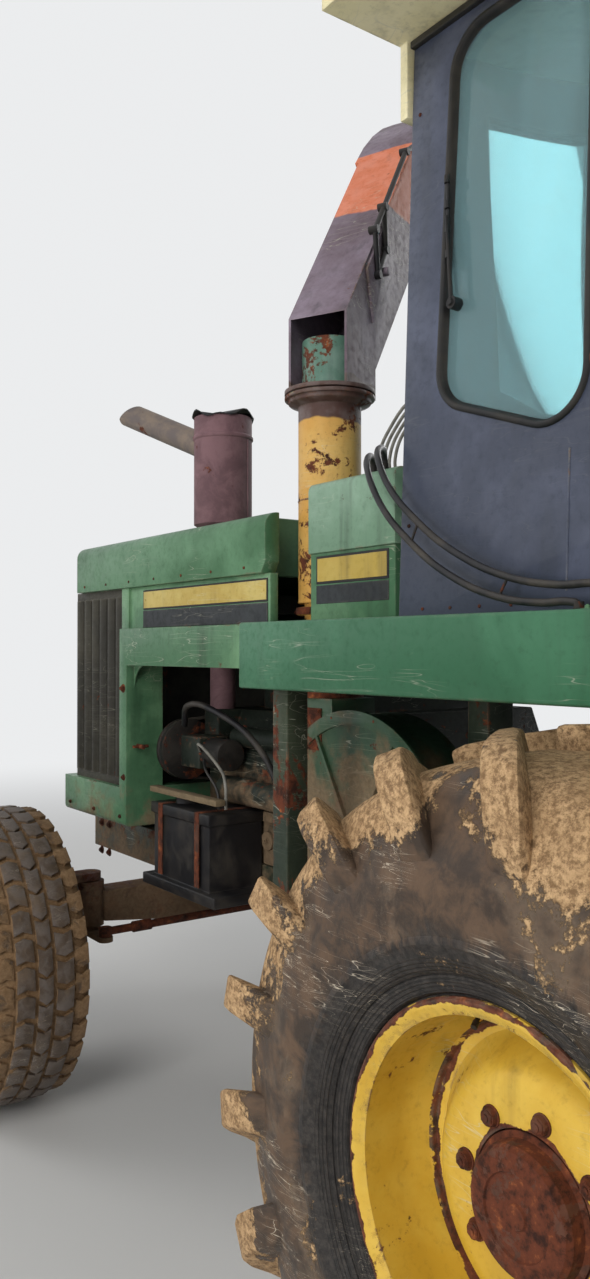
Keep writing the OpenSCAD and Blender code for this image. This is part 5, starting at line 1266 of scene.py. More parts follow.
@dataclass
class PowerTrain:
    """Engine, belts, tank, wires and pipes of the open bay."""

    belt_width: float = 0.02
    belt_depth: float = 0.011

    def build(self) -> None:
        """Dresses what stands in the bay."""
        softened("engine", Finish.ENGINE, 0.006)
        softened("belt_drive", Finish.PULLEY, 0.002)
        softened("tank_box", Finish.BLACK, 0.006)
        self.pulley_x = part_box("belt_drive")[0].x
        self.belts()
        self.alternator()
        self.wiring()
        self.block_details()
        self.tank_fittings()

    def belts(self) -> None:
        """Runs a flat belt over the three pulleys as one closed loop."""
        z_low, z_top = 1.18, 1.40
        rail_low, rail_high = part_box("main_rails")
        out_y = rail_low.y - 0.06
        circles = [(Vector((0, z_low)), 0.125), (Vector((out_y, 1.318)), 0.108),
                   (Vector((0, z_top)), 0.086)]
        del rail_high
        points: list[Vector] = []
        spans = ((0, 200, 335), (2, 20, 105), (1, 95, 245))
        for index, start, stop in spans:
            centre, radius = circles[index]
            for k in range(9):
                a = math.radians(start + (stop - start) * k / 8)
                points.append(Vector((self.pulley_x + 0.034,
                                      centre.x + radius * math.cos(a),
                                      centre.y + radius * math.sin(a))))
        bm = bmesh.new()
        rows = []
        for side in (-0.5, 0.5):
            for lift in (0.0, self.belt_depth):
                row = []
                for i, point in enumerate(points):
                    ahead = points[(i + 1) % len(points)] - points[i - 1]
                    out = Vector((0, ahead.z, -ahead.y)).normalized()
                    row.append(bm.verts.new(point + Vector((side * self.belt_width, 0, 0))
                                            + out * lift))
                rows.append([bm.edges.new((row[i], row[(i + 1) % len(row)]))
                             for i in range(len(row))])
        for near, far in ((0, 1), (1, 3), (3, 2), (2, 0)):
            bmesh.ops.bridge_loops(bm, edges=rows[near] + rows[far])
        bmesh.ops.recalc_face_normals(bm, faces=bm.faces)
        finish_piece("drive_belt", bm, "chassis", Finish.BELT)

    def alternator(self) -> None:
        """Dresses the alternator with fins and its terminals."""
        bm = bmesh.new()
        rail_low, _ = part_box("main_rails")
        centre = Vector((self.pulley_x + 0.2, rail_low.y - 0.06, 1.318))
        for k in range(16):
            a = math.tau * k / 16
            out = Vector((0, math.cos(a), math.sin(a)))
            add_rod(bm, centre + out * 0.052 - Vector((0.02, 0, 0)),
                    centre + out * 0.052 + Vector((0.045, 0, 0)), 0.0075, 8)
        for z in (0.018, -0.02):
            add_hex(bm, centre + Vector((0.069, 0, z)), (1, 0, 0), 0.007, 0.012)
        finish_piece("alternator_fins", bm, "chassis", Finish.RUSTY)

    def wiring(self) -> None:
        """Leads wires and hoses through the bay, each from one fitting to another."""
        x = self.pulley_x
        y = -(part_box("hood_roof")[1].y - 0.16)
        runs = [("bay_hose_top", [(x + 0.12, y + 0.02, 1.42), (x + 0.2, y - 0.01, 1.50),
                                  (x + 0.38, y + 0.03, 1.47), (x + 0.55, y + 0.08, 1.36),
                                  (x + 0.62, y + 0.12, 1.22)], 0.012, Finish.HOSE),
                ("bay_wire_one", [(x + 0.24, y + 0.02, 1.33), (x + 0.3, y - 0.02, 1.36),
                                  (x + 0.4, y, 1.29), (x + 0.5, y - 0.03, 1.24),
                                  (x + 0.52, y - 0.04, 1.15)], 0.006, Finish.WIRE),
                ("bay_wire_two", [(x + 0.25, y + 0.03, 1.3), (x + 0.33, y - 0.01, 1.27),
                                  (x + 0.45, y - 0.03, 1.2), (x + 0.49, y - 0.05, 1.15)], 0.005,
                 Finish.HOSE)]
        for name, points, radius, finish in runs:
            swept(name, [Vector(p) for p in points], radius, "chassis", finish)

    def block_details(self) -> None:
        """Adds head bolts, covers and ribs to the engine block's open sides."""
        bm = bmesh.new()
        low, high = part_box("engine")
        for sign in (1, -1):
            y = sign * min(abs(low.y), high.y)
            for k in range(5):
                x = low.x + 0.2 + 0.11 * k
                add_rod(bm, (x, y - sign * 0.01, 1.02), (x, y + sign * 0.012, 1.02), 0.034, 24)
                add_hex(bm, (x, y + sign * 0.011, 1.02), (0, sign, 0), 0.009, 0.01)
            add_block(bm, (low.x + 0.17, min(y, y + sign * 0.014), 1.09),
                      (high.x - 0.03, max(y, y + sign * 0.014), 1.125))
        finish_piece("engine_covers", bm, "chassis", Finish.ENGINE)

    def tank_fittings(self) -> None:
        """Adds the rusty straps over the tank and the strap shelf on its top."""
        low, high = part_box("tank_box")
        bm = bmesh.new()
        for x in (low.x + 0.12, high.x - 0.14):
            add_block(bm, (x - 0.016, low.y + 0.012, low.z + 0.05), (x + 0.016, low.y + 0.016,
                                                                     high.z - 0.035))
            add_block(bm, (x - 0.016, low.y + 0.012, high.z - 0.036), (x + 0.016, high.y - 0.01,
                                                                       high.z - 0.033))
        bmesh.ops.bevel(bm, geom=bm.edges[:], offset=0.001, offset_type="OFFSET", affect="EDGES",
                        segments=1, profile=0.5, material=-1)
        finish_piece("tank_straps", bm, "chassis", Finish.RUSTY)
        shelf = bmesh.new()
        add_block(shelf, (low.x + 0.02, low.y + 0.02, high.z + 0.0002),
                  (high.x - 0.02, low.y + 0.06, high.z + 0.022))
        bmesh.ops.bevel(shelf, geom=shelf.edges[:], offset=0.003, offset_type="OFFSET",
                        affect="EDGES", segments=2, profile=0.5, material=-1)
        finish_piece("tank_shelf", shelf, "chassis", Finish.CASING)


@dataclass
class Deck:
    """Platform, tread plate, ladder, hand rails and the boxes behind the cab."""

    def build(self) -> None:
        """Dresses the platform and what stands on it."""
        softened("platform", Finish.BEAM, 0.006)
        softened("ladder", Finish.BEAM, 0.0025)
        softened("handrails", Finish.GREEN, 0.002)
        boxes = softened("side_boxes", Finish.LID, 0.005)
        repaint(boxes, Finish.GREEN, lambda centre: centre.z < DECK_Z + 0.21)
        self.tread_plate()
        self.box_plates()
        self.rail_feet()
        self.hand_grip()

    def tread_plate(self) -> None:
        """Lays raised diamonds over the walkways beside the cab."""
        low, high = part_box("platform")
        bm = bmesh.new()
        pitch, rise = 0.055, 0.0025
        cab_low, cab_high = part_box("cab_shell")
        for sign in (1, -1):
            inner = max(abs(cab_low.y), cab_high.y) + 0.03
            rows = int((high.y - 0.03 - inner) / pitch)
            count = int((high.x - low.x - 0.5) / pitch)
            for i in range(count):
                for j in range(rows + 1):
                    centre = Vector((low.x + 0.45 + i * pitch, sign * (inner + (j + 0.5) * pitch
                                                                      * 0.9), high.z))
                    turn = Matrix.Rotation(math.radians(45 if (i + j) % 2 else -45), 4, "Z")
                    bmesh.ops.create_cone(
                        bm, cap_ends=True, segments=4, radius1=0.02, radius2=0.012, depth=rise * 2,
                        matrix=Matrix.Translation(centre) @ turn @ Matrix.Diagonal((1, 0.32, 1, 1)))
        finish_piece("tread_diamonds", bm, "chassis", Finish.BEAM, (), 20.0)

    def box_plates(self) -> None:
        """Puts a blank yellow plate with a dark border below each box's lid."""
        low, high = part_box("side_boxes")
        lid_z = DECK_Z + 0.21
        for index, sign in enumerate((1, -1)):
            face = sign * (max(abs(low.y), high.y) - 0.006)
            x0, x1 = low.x + 0.035, high.x - 0.03
            border = bmesh.new()
            ys = sorted((face - sign * 0.001, face + sign * 0.002))
            add_block(border, (x0, ys[0], lid_z - 0.092), (x1, ys[1], lid_z - 0.01))
            plate = bmesh.new()
            ys = sorted((face, face + sign * 0.0035))
            add_block(plate, (x0 + 0.007, ys[0], lid_z - 0.085), (x1 - 0.007, ys[1], lid_z - 0.017))
            strip = bmesh.new()
            ys = sorted((face, face + sign * 0.002))
            add_block(strip, (x0, ys[0], lid_z - 0.15), (x1, ys[1], lid_z - 0.096))
            for part in (border, plate, strip):
                bmesh.ops.bevel(part, geom=part.edges[:], offset=0.0008, offset_type="OFFSET",
                                affect="EDGES", segments=1, profile=0.5, material=-1)
            finish_piece(f"box_plate_border_{index}", border, "chassis",
                         Finish.BLACK)
            finish_piece(f"box_plate_{index}", plate, "chassis", Finish.YELLOW)
            finish_piece(f"box_strip_{index}", strip, "chassis", Finish.DARK)

    def rail_feet(self) -> None:
        """Adds a welded foot with bolts under each hand rail."""
        bm = bmesh.new()
        low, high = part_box("handrails")
        for x, y in ((high.x - 0.016, high.y - 0.016), (high.x - 0.46 + 0.016, high.y - 0.016),
                     (AXLE_X - 0.15, low.y + 0.016)):
            centre = Vector((x, y, DECK_Z))
            add_rod(bm, centre, centre + UP * 0.008, 0.042, 24)
            for k in range(3):
                a = math.tau * k / 3
                add_hex(bm, centre + Vector((0.029 * math.cos(a), 0.029 * math.sin(a), 0.007)),
                        UP, 0.006, 0.007)
        finish_piece("rail_feet", bm, "chassis", Finish.GREEN)

    def hand_grip(self) -> None:
        """Adds the rusty ball end of the grab rail beside the cab."""
        low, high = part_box("handrails")
        top = DECK_Z + 0.52
        centre = Vector((AXLE_X - 0.15, low.y + 0.016, top))
        bm = bmesh.new()
        spun(bm, [(0.0, -0.085), (0.0165, -0.085), (0.019, -0.07), (0.019, -0.03), (0.022, -0.012),
                  (0.022, 0.0), (0.017, 0.012), (0.008, 0.018), (0.0, 0.019)], centre, UP, 28)
        del high
        finish_piece("grab_rail_grip", bm, "chassis", Finish.RUSTY)


@dataclass
class Cab:
    """Cab shell, door, glass, seals, roof and the fittings inside."""

    seal_lap: float = 0.012
    seal_rise: float = 0.0142
    # each step of the seal's section, from the wall to the glass: inward and outward
    seal_steps: tuple[tuple[float, float], ...] = (
        (0.002, 0.0045), (0.0045, 0.003), (0.005, 0.0005), (0.005, -0.003), (0.002, -0.0105),
        (0.005, -0.0082))
    wall_lean: float = 0.0

    def __post_init__(self) -> None:
        """Works the lean of the side walls out from the frame."""
        low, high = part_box("cab_shell")
        self.low, self.high = low, high
        glass_low, glass_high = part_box("cab_glass")
        self.glass_low, self.glass_high = glass_low, glass_high
        self.foot_y = 0.865
        self.wall_lean = math.atan2(0.06, high.z - low.z)

    def wall_point(self, x: float, up: float, out: float, sign: float) -> Vector:
        """Gives a point on a leaning side wall.

        Args:
            x: Place along the cab, in the row frame.
            up: Height above the cab's floor, measured up the wall.
            out: Distance outside the wall's face.
            sign: One for the left wall, minus one for the right.
        """
        cos, sin = math.cos(self.wall_lean), math.sin(self.wall_lean)
        return Vector((x, sign * (self.foot_y - up * sin + out * cos),
                       self.low.z + up * cos + out * sin))

    def build(self) -> None:
        """Dresses the cab."""
        softened("cab_shell", Finish.SLATE, 0.007)
        softened("cab_door", Finish.SLATE, 0.004)
        softened("cab_roof", Finish.ROOF, 0.012)
        softened("control_console", Finish.TRIM, 0.006)
        self.panes("cab_glass", "chassis")
        self.panes("door_glass", "cab_door")
        self.wiper()
        self.seams()
        self.roof_trim()
        self.inside()
        self.door_fittings()

    def panes(self, node: str, body: str) -> None:
        """Makes the panes of a node with rounded edges, and a rubber seal round each.

        Args:
            node: The CAD node of the glass.
            body: The body that the glass and its seals ride on.
        """
        softened(node, Finish.GLASS, 0.0015)
        bm = merged_copy(node)
        seals = bmesh.new()
        big = [f for f in bm.faces if f.calc_area() > 0.08]
        centre = (self.low + self.high) / 2
        for face in big:
            out = face.calc_center_median() - centre
            if face.normal.dot(Vector((out.x, out.y, 0))) <= 0:
                continue
            ring = [v.co.copy() for v in face.verts]
            self.seal_round(seals, ring, face.normal.copy())
        bm.free()
        if len(seals.verts):
            bmesh.ops.recalc_face_normals(seals, faces=seals.faces)
            finish_piece(node + "_seals", seals, body, Finish.SEAL, (), 50.0)
        else:
            seals.free()

    def seal_round(self, bm: bmesh.types.BMesh, ring: list[Vector], normal: Vector) -> None:
        """Lays a rounded rubber seal along the edge of one pane.

        Args:
            bm: The mesh that the seal is added to.
            ring: The pane's corners in order.
            normal: The pane's outward direction.
        """
        count = len(ring)
        outline = []
        for i, point in enumerate(ring):
            before = (point - ring[i - 1]).normalized()
            after = (ring[(i + 1) % count] - point).normalized()
            inside = normal.cross(before) + normal.cross(after)
            inside = inside / max(0.6, inside.length_squared / 2)
            outline.append(bm.verts.new(point - inside * self.seal_lap + normal * self.seal_rise))
        middle_face = bm.faces.new(outline)
        middle_face.normal_update()
        for inward, rise in self.seal_steps:
            bmesh.ops.inset_region(bm, faces=[middle_face], thickness=inward, depth=rise,
                                   use_boundary=True, use_even_offset=True)
        bmesh.ops.delete(bm, geom=[middle_face], context="FACES_ONLY")

    def wiper(self) -> None:
        """Adds the parked wiper with its spindle, arm and blade on the right quarter window."""
        sign = -1.0
        pivot = self.wall_point(self.low.x + 0.178, 0.80, 0.0, sign)
        out = Vector((0, sign * math.cos(self.wall_lean), math.sin(self.wall_lean)))
        bm = bmesh.new()
        add_rod(bm, pivot - out * 0.014, pivot + out * 0.014, 0.016, 24)
        add_rod(bm, pivot + out * 0.014, pivot + out * 0.02, 0.01, 20, 0.007)
        tip = self.wall_point(self.low.x + 0.152, 1.03, 0.012, sign)
        add_rod(bm, pivot + out * 0.012, tip, 0.0055, 10, 0.004)
        blade = [self.wall_point(self.low.x + 0.158 - 0.014 * k, 0.90 + 0.26 * k, 0.004, sign)
                 for k in (0, 1)]
        along = (blade[1] - blade[0]).normalized()
        add_rod(bm, blade[0], blade[1], 0.005, 8)
        for share in (0.12, 0.38, 0.62, 0.88):
            place = blade[0].lerp(blade[1], share) + out * 0.003
            add_rod(bm, place - along * 0.01, place + along * 0.01, 0.0075, 8)
        finish_piece("wiper", bm, "chassis", Finish.BLACK)

    def seams(self) -> None:
        """Adds a raised seam strip on the right wall and screws on both side walls."""
        bm = bmesh.new()
        screws = bmesh.new()
        for sign in (1, -1):
            x = self.low.x + 0.55
            if sign < 0:
                foot = self.wall_point(x, 0.055, -0.001, sign)
                head = self.wall_point(x, 0.372, -0.001, sign)
                add_rod(bm, foot, head, 0.0032, 8)
            for k in range(5):
                place = self.wall_point(self.low.x + 0.09 + k * 0.1, 0.03, -0.001, sign)
                out = Vector((0, sign, 0.04))
                add_rod(screws, place, place + out.normalized() * 0.003, 0.005, 14, 0.004)
            for up in (0.25, 1.35):
                place = self.wall_point(self.low.x + 0.03, up, -0.001, sign)
                add_rod(screws, place, place + Vector((0, sign, 0.04)).normalized() * 0.004,
                        0.006, 14, 0.004)
        finish_piece("cab_seams", bm, "chassis", Finish.SLATE)
        finish_piece("cab_screws", screws, "chassis", Finish.RUSTY)

    def roof_trim(self) -> None:
        """Adds the dark gasket under the roof and its bolts."""
        low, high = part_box("cab_roof")
        bm = bmesh.new()
        lip = 0.012
        y = self.foot_y - 0.06 + 0.004
        add_block(bm, (self.low.x - 0.002, -y - lip, self.high.z - 0.022),
                  (self.high.x - 0.10, -y + 0.02, self.high.z - 0.002))
        add_block(bm, (self.low.x - 0.002, y - 0.02, self.high.z - 0.022),
                  (self.high.x - 0.10, y + lip, self.high.z - 0.002))
        bmesh.ops.bevel(bm, geom=bm.edges[:], offset=0.004, offset_type="OFFSET", affect="EDGES",
                        segments=2, profile=0.5, material=-1)
        finish_piece("roof_gasket", bm, "chassis", Finish.SEAL)
        bolts = bmesh.new()
        for sign in (1, -1):
            for k in range(4):
                foot = Vector((low.x + 0.2 + k * 0.45, sign * (high.y - 0.0005), self.high.z + 0.03))
                add_rod(bolts, foot, foot + Vector((0, sign * 0.004, 0)), 0.008, 16, 0.006)
        finish_piece("roof_screws", bolts, "chassis", Finish.RUSTY)

    def inside(self) -> None:
        """Adds the lever, switches and floor mat inside the cab."""
        console_low, console_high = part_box("control_console")
        top = self.low.z + 0.05 + 0.5
        bm = bmesh.new()
        base = Vector((console_low.x + 0.38, console_low.y + 0.12, top))
        add_rod(bm, base, base + Vector((0.02, 0, 0.2)), 0.009, 12)
        spun(bm, [(0.0, -0.045), (0.016, -0.04), (0.024, -0.02), (0.026, 0.0), (0.022, 0.024),
                  (0.012, 0.036), (0.0, 0.038)], base + Vector((0.022, 0, 0.235)), UP, 24)
        for k in range(6):
            spot = Vector((console_low.x + 0.12 + 0.045 * k, console_low.y + 0.2, top + 0.03))
            add_rod(bm, spot - UP * 0.03, spot + UP * 0.006, 0.011, 16, 0.009)
        finish_piece("console_controls", bm, "chassis", Finish.BLACK)
        mat = bmesh.new()
        add_block(mat, (self.low.x + 0.1, -self.foot_y + 0.09, self.low.z + 0.0395),
                  (self.high.x - 0.2, self.foot_y - 0.09, self.low.z + 0.044))
        for k in range(14):
            x = self.low.x + 0.16 + 0.1 * k
            add_rod(mat, (x, -self.foot_y + 0.12, self.low.z + 0.044),
                    (x, self.foot_y - 0.12, self.low.z + 0.044), 0.003, 6)
        finish_piece("floor_mat", mat, "chassis", Finish.BLACK)
        del console_high

    def door_fittings(self) -> None:
        """Adds the door's lock and the caps of its hinges."""
        low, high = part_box("cab_door")
        bm = bmesh.new()
        x = high.x - 0.06
        for up in (0.27, 0.47):
            place = self.wall_point(x + 0.008, up + 0.02, 0.036, 1.0)
            add_rod(bm, place, place + Vector((0, 0.004, 0)), 0.008, 14)
        lock = self.wall_point(x + 0.005, 0.25, -0.002, 1.0)
        add_rod(bm, lock, lock + Vector((0, 0.012, 0)), 0.014, 20, 0.012)
        finish_piece("door_lock", bm, "cab_door", Finish.STEEL)
        del low


@dataclass
class Seat:
    """Driver's seat with crowned cushions on its frame."""

    cloth_size: float = 0.005

    def build(self) -> None:
        """Makes the frame and the two cushions."""
        low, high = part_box("seat")
        floor = low.z
        rear = low.x
        frame_bm = bmesh.new()
        add_block(frame_bm, (rear + 0.18, -0.15, floor), (rear + 0.53, 0.15, floor + 0.035))
        for k in range(4):
            add_block(frame_bm, (rear + 0.2, -0.135, floor + 0.035 + 0.022 * k),
                      (rear + 0.51, 0.135, floor + 0.047 + 0.022 * k))
        add_block(frame_bm, (rear + 0.15, -0.2, floor + 0.12), (rear + 0.55, 0.2, floor + 0.145))
        for sign in (1, -1):
            add_rod(frame_bm, (rear + 0.17, sign * 0.262, floor + 0.2),
                    (rear + 0.17, sign * 0.262, floor + 0.37), 0.012, 16)
            add_rod(frame_bm, (rear + 0.17, sign * 0.2, floor + 0.2),
                    (rear + 0.17, sign * 0.27, floor + 0.2), 0.012, 16)
        round_edges(frame_bm, 0.004)
        finish_piece("seat_frame", frame_bm, "chassis", Finish.BLACK)
        self.cushion("seat_cushion", (rear + 0.14, -0.23, floor + 0.14),
                     (rear + 0.59, 0.23, floor + 0.25), 0.0, Vector())
        pivot = Vector((rear + 0.105, 0, floor + 0.2))
        self.cushion("seat_back", (rear + 0.06, -0.23, floor + 0.22),
                     (rear + 0.16, 0.23, floor + 0.80), math.radians(-8.6), pivot)
        for sign in (1, -1):
            self.cushion(f"seat_arm_{'left' if sign > 0 else 'right'}",
                         (rear + 0.15, sign * 0.275 - 0.026, floor + 0.375),
                         (rear + 0.47, sign * 0.275 + 0.026, floor + 0.425), 0.0, Vector())
        anchor = bmesh.new()
        add_rod(anchor, (rear + 0.17, -0.23, floor + 0.135), (rear + 0.17, 0.23, floor + 0.135),
                0.014, 16)
        finish_piece("seat_pivot", anchor, "chassis", Finish.STEEL, ("seat",))

    def cushion(self, name: str, low: tuple[float, float, float],
                high: tuple[float, float, float], lean: float, pivot: Vector) -> None:
        """Blows up one cushion from a slightly smaller block.

        Args:
            name: Name of the cushion.
            low: Lowest corner of its space.
            high: Highest corner of its space.
            lean: Turn about Y, in radians.
            pivot: The point that it leans about.
        """
        bm = bmesh.new()
        low, high = Vector(low), Vector(high)
        add_block(bm, low, high)
        bmesh.ops.subdivide_edges(bm, edges=bm.edges[:], cuts=9, use_grid_fill=True)
        centre, half = (low + high) / 2, (high - low) / 2
        thin = min(range(3), key=lambda i: half[i])
        flat = [i for i in range(3) if i != thin]
        for v in bm.verts:
            local = v.co - centre
            share = [local[i] / half[i] for i in range(3)]
            edge = max(abs(share[i]) for i in flat)
            crown = 1.0 - 0.34 * edge ** 5
            if share[thin] < 0 and thin == 2:
                crown = 1.0 - 0.14 * edge ** 6
            local[thin] *= crown
            pull = 0.012 * (1 - abs(share[thin]))
            for i in flat:
                other = share[flat[1] if i == flat[0] else flat[0]]
                waist = 1.0 - other * other
                local[i] -= math.copysign(min(pull, half[i] * 0.1) * (0.25 - 0.25 * waist),
                                          share[i]) if abs(share[i]) > 0.95 else 0.0
            v.co = centre + local
        if lean:
            turn = Matrix.Translation(pivot) @ Matrix.Rotation(lean, 4, "Y") \
                @ Matrix.Translation(-pivot)
            bmesh.ops.transform(bm, matrix=turn, verts=bm.verts)
        piece = finish_piece(name, bm, "chassis", Finish.CLOTH, (), 80.0)
        smooth = piece.modifiers.new("crown", "SUBSURF")
        smooth.levels = smooth.render_levels = 2


@dataclass
class Lights:
    """Working lamps under the roof and the mirrors on their arms."""

    def build(self) -> None:
        """Dresses the lamps and the mirrors."""
        softened("work_lamps", Finish.BLACK, 0.002)
        softened("mirrors", Finish.BLACK, 0.004)
        lamp_low, lamp_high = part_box("work_lamps")
        lens = bmesh.new()
        for y in (-0.62, -0.33, 0.33, 0.62):
            centre = Vector((lamp_high.x, y, lamp_low.z + 0.052))
            spun(lens, [(0.0, -0.0035), (0.0435, -0.0035), (0.0435, -0.0008), (0.036, -0.0002),
                        (0.02, 0.0), (0.0, 0.0)], centre, Vector((1, 0, 0)), 40)
        finish_piece("lamp_lenses", lens, "chassis", Finish.LENS)
        mirror_low, mirror_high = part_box("mirrors")
        glass = bmesh.new()
        for sign in (1, -1):
            y = sign * (mirror_high.y - 0.09)
            verts = add_block(glass, (mirror_low.x - 0.0012, y - 0.068, mirror_low.z + 0.026),
                              (mirror_low.x + 0.001, y + 0.068, mirror_low.z + 0.334))
            del verts
        edges = [e for e in glass.edges if abs((e.verts[0].co - e.verts[1].co).x) > 0.0015]
        bmesh.ops.bevel(glass, geom=edges, offset=0.02, offset_type="OFFSET", affect="EDGES",
                        segments=4, profile=0.5, material=-1)
        finish_piece("mirror_glass", glass, "chassis", Finish.MIRROR)


@dataclass
class Blower:
    """Blower casing beside the cab, with its patch, post and bolts."""

    def build(self) -> None:
        """Dresses the blower."""
        softened("blower", Finish.CASING, 0.004)
        low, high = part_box("blower")
        disc = Vector((-0.14, low.y + 0.032, 1.14))
        bm = bmesh.new()
        for k in range(12):
            angle = math.tau * (k + 0.5) / 12
            foot = disc + Vector((0.378 * math.cos(angle), 0, 0.378 * math.sin(angle)))
            add_hex(bm, foot, (0, -1, 0), 0.009, 0.009)
        for k in range(6):
            angle = math.tau * k / 6
            foot = Vector((disc.x + 0.052 * math.cos(angle), low.y,
                           disc.z + 0.052 * math.sin(angle)))
            add_rod(bm, foot, foot + Vector((0, 0.004, 0)), 0.008, 6)
        finish_piece("blower_bolts", bm, "chassis", Finish.RUSTY)
        patch = bmesh.new()
        face = low.y + 0.032
        for x0, x1, z0, z1 in ((-0.42, -0.3, 1.40, 1.53),):
            add_block(patch, (x0, face - 0.003, z0), (x1, face + 0.001, z1))
        bmesh.ops.bevel(patch, geom=patch.edges[:], offset=0.001, offset_type="OFFSET",
                        affect="EDGES", segments=1, profile=0.5, material=-1)
        for x in (-0.41, -0.31):
            for z in (1.41, 1.52):
                add_hex(patch, (x, face - 0.003, z), (0, -1, 0), 0.006, 0.006)
        finish_piece("blower_patch", patch, "chassis", Finish.RUSTY)
        del high


@dataclass
class Pipe:
    """Standing pipe with its collar, clamps and bands."""

    def build(self) -> None:
        """Dresses the pipe."""
        softened("standing_pipe", Finish.PIPE, 0.003)
        low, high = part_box("standing_pipe")
        centre = (low + high) / 2
        self.axis = Vector((centre.x, centre.y, 0))
        clamp = bmesh.new()
        for z in (low.z + 0.012, low.z + 0.272):
            spun(clamp, [(0.1045, -0.011), (0.1075, -0.011), (0.1075, 0.011), (0.1045, 0.011)],
                 self.axis + UP * z, UP, 64)
            lug = self.axis + Vector((-0.107, -0.03, z))
            add_block(clamp, lug + Vector((-0.024, -0.008, -0.012)),
                      lug + Vector((0.004, -0.002, 0.012)))
            add_block(clamp, lug + Vector((-0.024, 0.006, -0.012)),
                      lug + Vector((0.004, 0.012, 0.012)))
            add_rod(clamp, lug + Vector((-0.014, -0.02, 0)), lug + Vector((-0.014, 0.024, 0)),
                    0.005, 12)
            add_hex(clamp, lug + Vector((-0.014, -0.008, 0)), (0, -1, 0), 0.008, 0.007)
        finish_piece("pipe_clamps", clamp, "chassis", Finish.RUSTY)
        weld = bmesh.new()
        for z in (low.z + 0.3, low.z + 0.62):
            spun(weld, [(0.0985, -0.004), (0.1005, -0.003), (0.1018, 0.0), (0.1005, 0.003),
                        (0.0985, 0.004)], self.axis + UP * z, UP, 72)
        finish_piece("pipe_welds", weld, "chassis", Finish.PIPE)


@dataclass
class Spout:
    """Discharge spout, its flap and linkage; places are along the spout and up."""

    link_radius: float = 0.009
    link_out: float = 0.118
    link_line: tuple[tuple[float, float], ...] = (
        (0.16, 3.16), (0.34, 3.42), (0.62, 3.62), (0.98, 3.72))
    bracket: tuple[tuple[float, float], ...] = (
        (0.11, 2.92), (0.17, 3.02), (0.16, 3.16), (0.09, 3.06))

    def build(self) -> None:
        """Dresses the spout and its end flap."""
        softened("spout_chute", Finish.SPOUT, 0.004)
        softened("spout_cap", Finish.SPOUT, 0.003)
        self.linkage()

    def in_spout(self, along: float, up: float, out: float) -> Vector:
        """Turns a place in the spout's own plane into the row frame.

        Args:
            along: Distance from the pipe's axis along the spout.
            up: Height above the ground.
            out: Distance to the wall's side, positive towards the linkage.
        """
        turn = math.radians(115)
        pipe = middle("standing_pipe")
        forward = Vector((math.cos(turn), math.sin(turn), 0))
        side = Vector((math.sin(turn), -math.cos(turn), 0))
        return Vector((pipe.x, pipe.y, 0)) + forward * along + side * out + UP * up

    def linkage(self) -> None:
        """Adds the flap's ram bars and their pins along the spout's wall."""
        bm = bmesh.new()
        out = (self.in_spout(0, 0, 1) - self.in_spout(0, 0, 0)).normalized()
        for line in (self.link_line, self.bracket + self.bracket[:1]):
            for near, far in zip(line, line[1:]):
                a = self.in_spout(*near, self.link_out)
                b = self.in_spout(*far, self.link_out)
                add_rod(bm, a, b, self.link_radius, 12)
                add_rod(bm, b - out * 0.02, b + out * 0.012, self.link_radius * 1.5, 16)
        finish_piece("spout_linkage", bm, "spout", Finish.BLACK)


@dataclass
class Exhaust:
    """Muffler with its seam, the outlet and the bent rain cap."""

    body_radius: float = 0.114
    cap_sheet: float = 0.004

    def build(self) -> None:
        """Dresses the exhaust."""
        low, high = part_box("exhaust_stack")
        self.centre = Vector((AXLE_X - 2.25, -0.56, 0))
        stack = softened("exhaust_stack", Finish.STACK, 0.002)
        repaint(stack, Finish.OUTLET, lambda c: math.hypot(
            c.x - self.centre.x, c.y - self.centre.y) > self.body_radius + 0.006)
        self.seam()
        self.cap(2.62)
        del low, high

    def seam(self) -> None:
        """Adds the muffler's long folded seam."""
        bm = bmesh.new()
        side = self.centre + Vector((0.9, 0.43, 0)).normalized() * self.body_radius
        add_rod(bm, side + UP * 1.9, side + UP * 2.53, 0.003, 8)
        finish_piece("muffler_seam", bm, "chassis", Finish.STACK)

    def cap(self, top: float) -> None:
        """Lays a bent, torn sheet over the top of the muffler."""
        bm = bmesh.new()
        bmesh.ops.create_circle(bm, cap_ends=True, segments=40, radius=self.body_radius + 0.008,
                                matrix=Matrix.Translation(self.centre + UP * (top + 0.003)))
        bmesh.ops.inset_region(bm, faces=bm.faces[:], thickness=0.03, use_even_offset=True)
        inner = [f for f in bm.faces if len(f.verts) > 10]
        bmesh.ops.inset_region(bm, faces=inner, thickness=0.035, use_even_offset=True)
        for v in bm.verts:
            local = v.co - self.centre
            angle = math.atan2(local.y, local.x)
            reach = math.hypot(local.x, local.y) / self.body_radius
            v.co.z += 0.012 * (1 - reach) + 0.010 * reach ** 3 * math.sin(3 * angle + 0.6) \
                + 0.006 * math.sin(7 * angle) * reach ** 4
        bmesh.ops.solidify(bm, geom=bm.faces[:], thickness=-self.cap_sheet)
        bmesh.ops.recalc_face_normals(bm, faces=bm.faces)
        add_rod(bm, self.centre + Vector((-0.1, 0.05, top - 0.04)),
                self.centre + Vector((-0.1, 0.05, top + 0.006)), 0.007, 12)
        finish_piece("muffler_cap", bm, "chassis", Finish.BLACK)


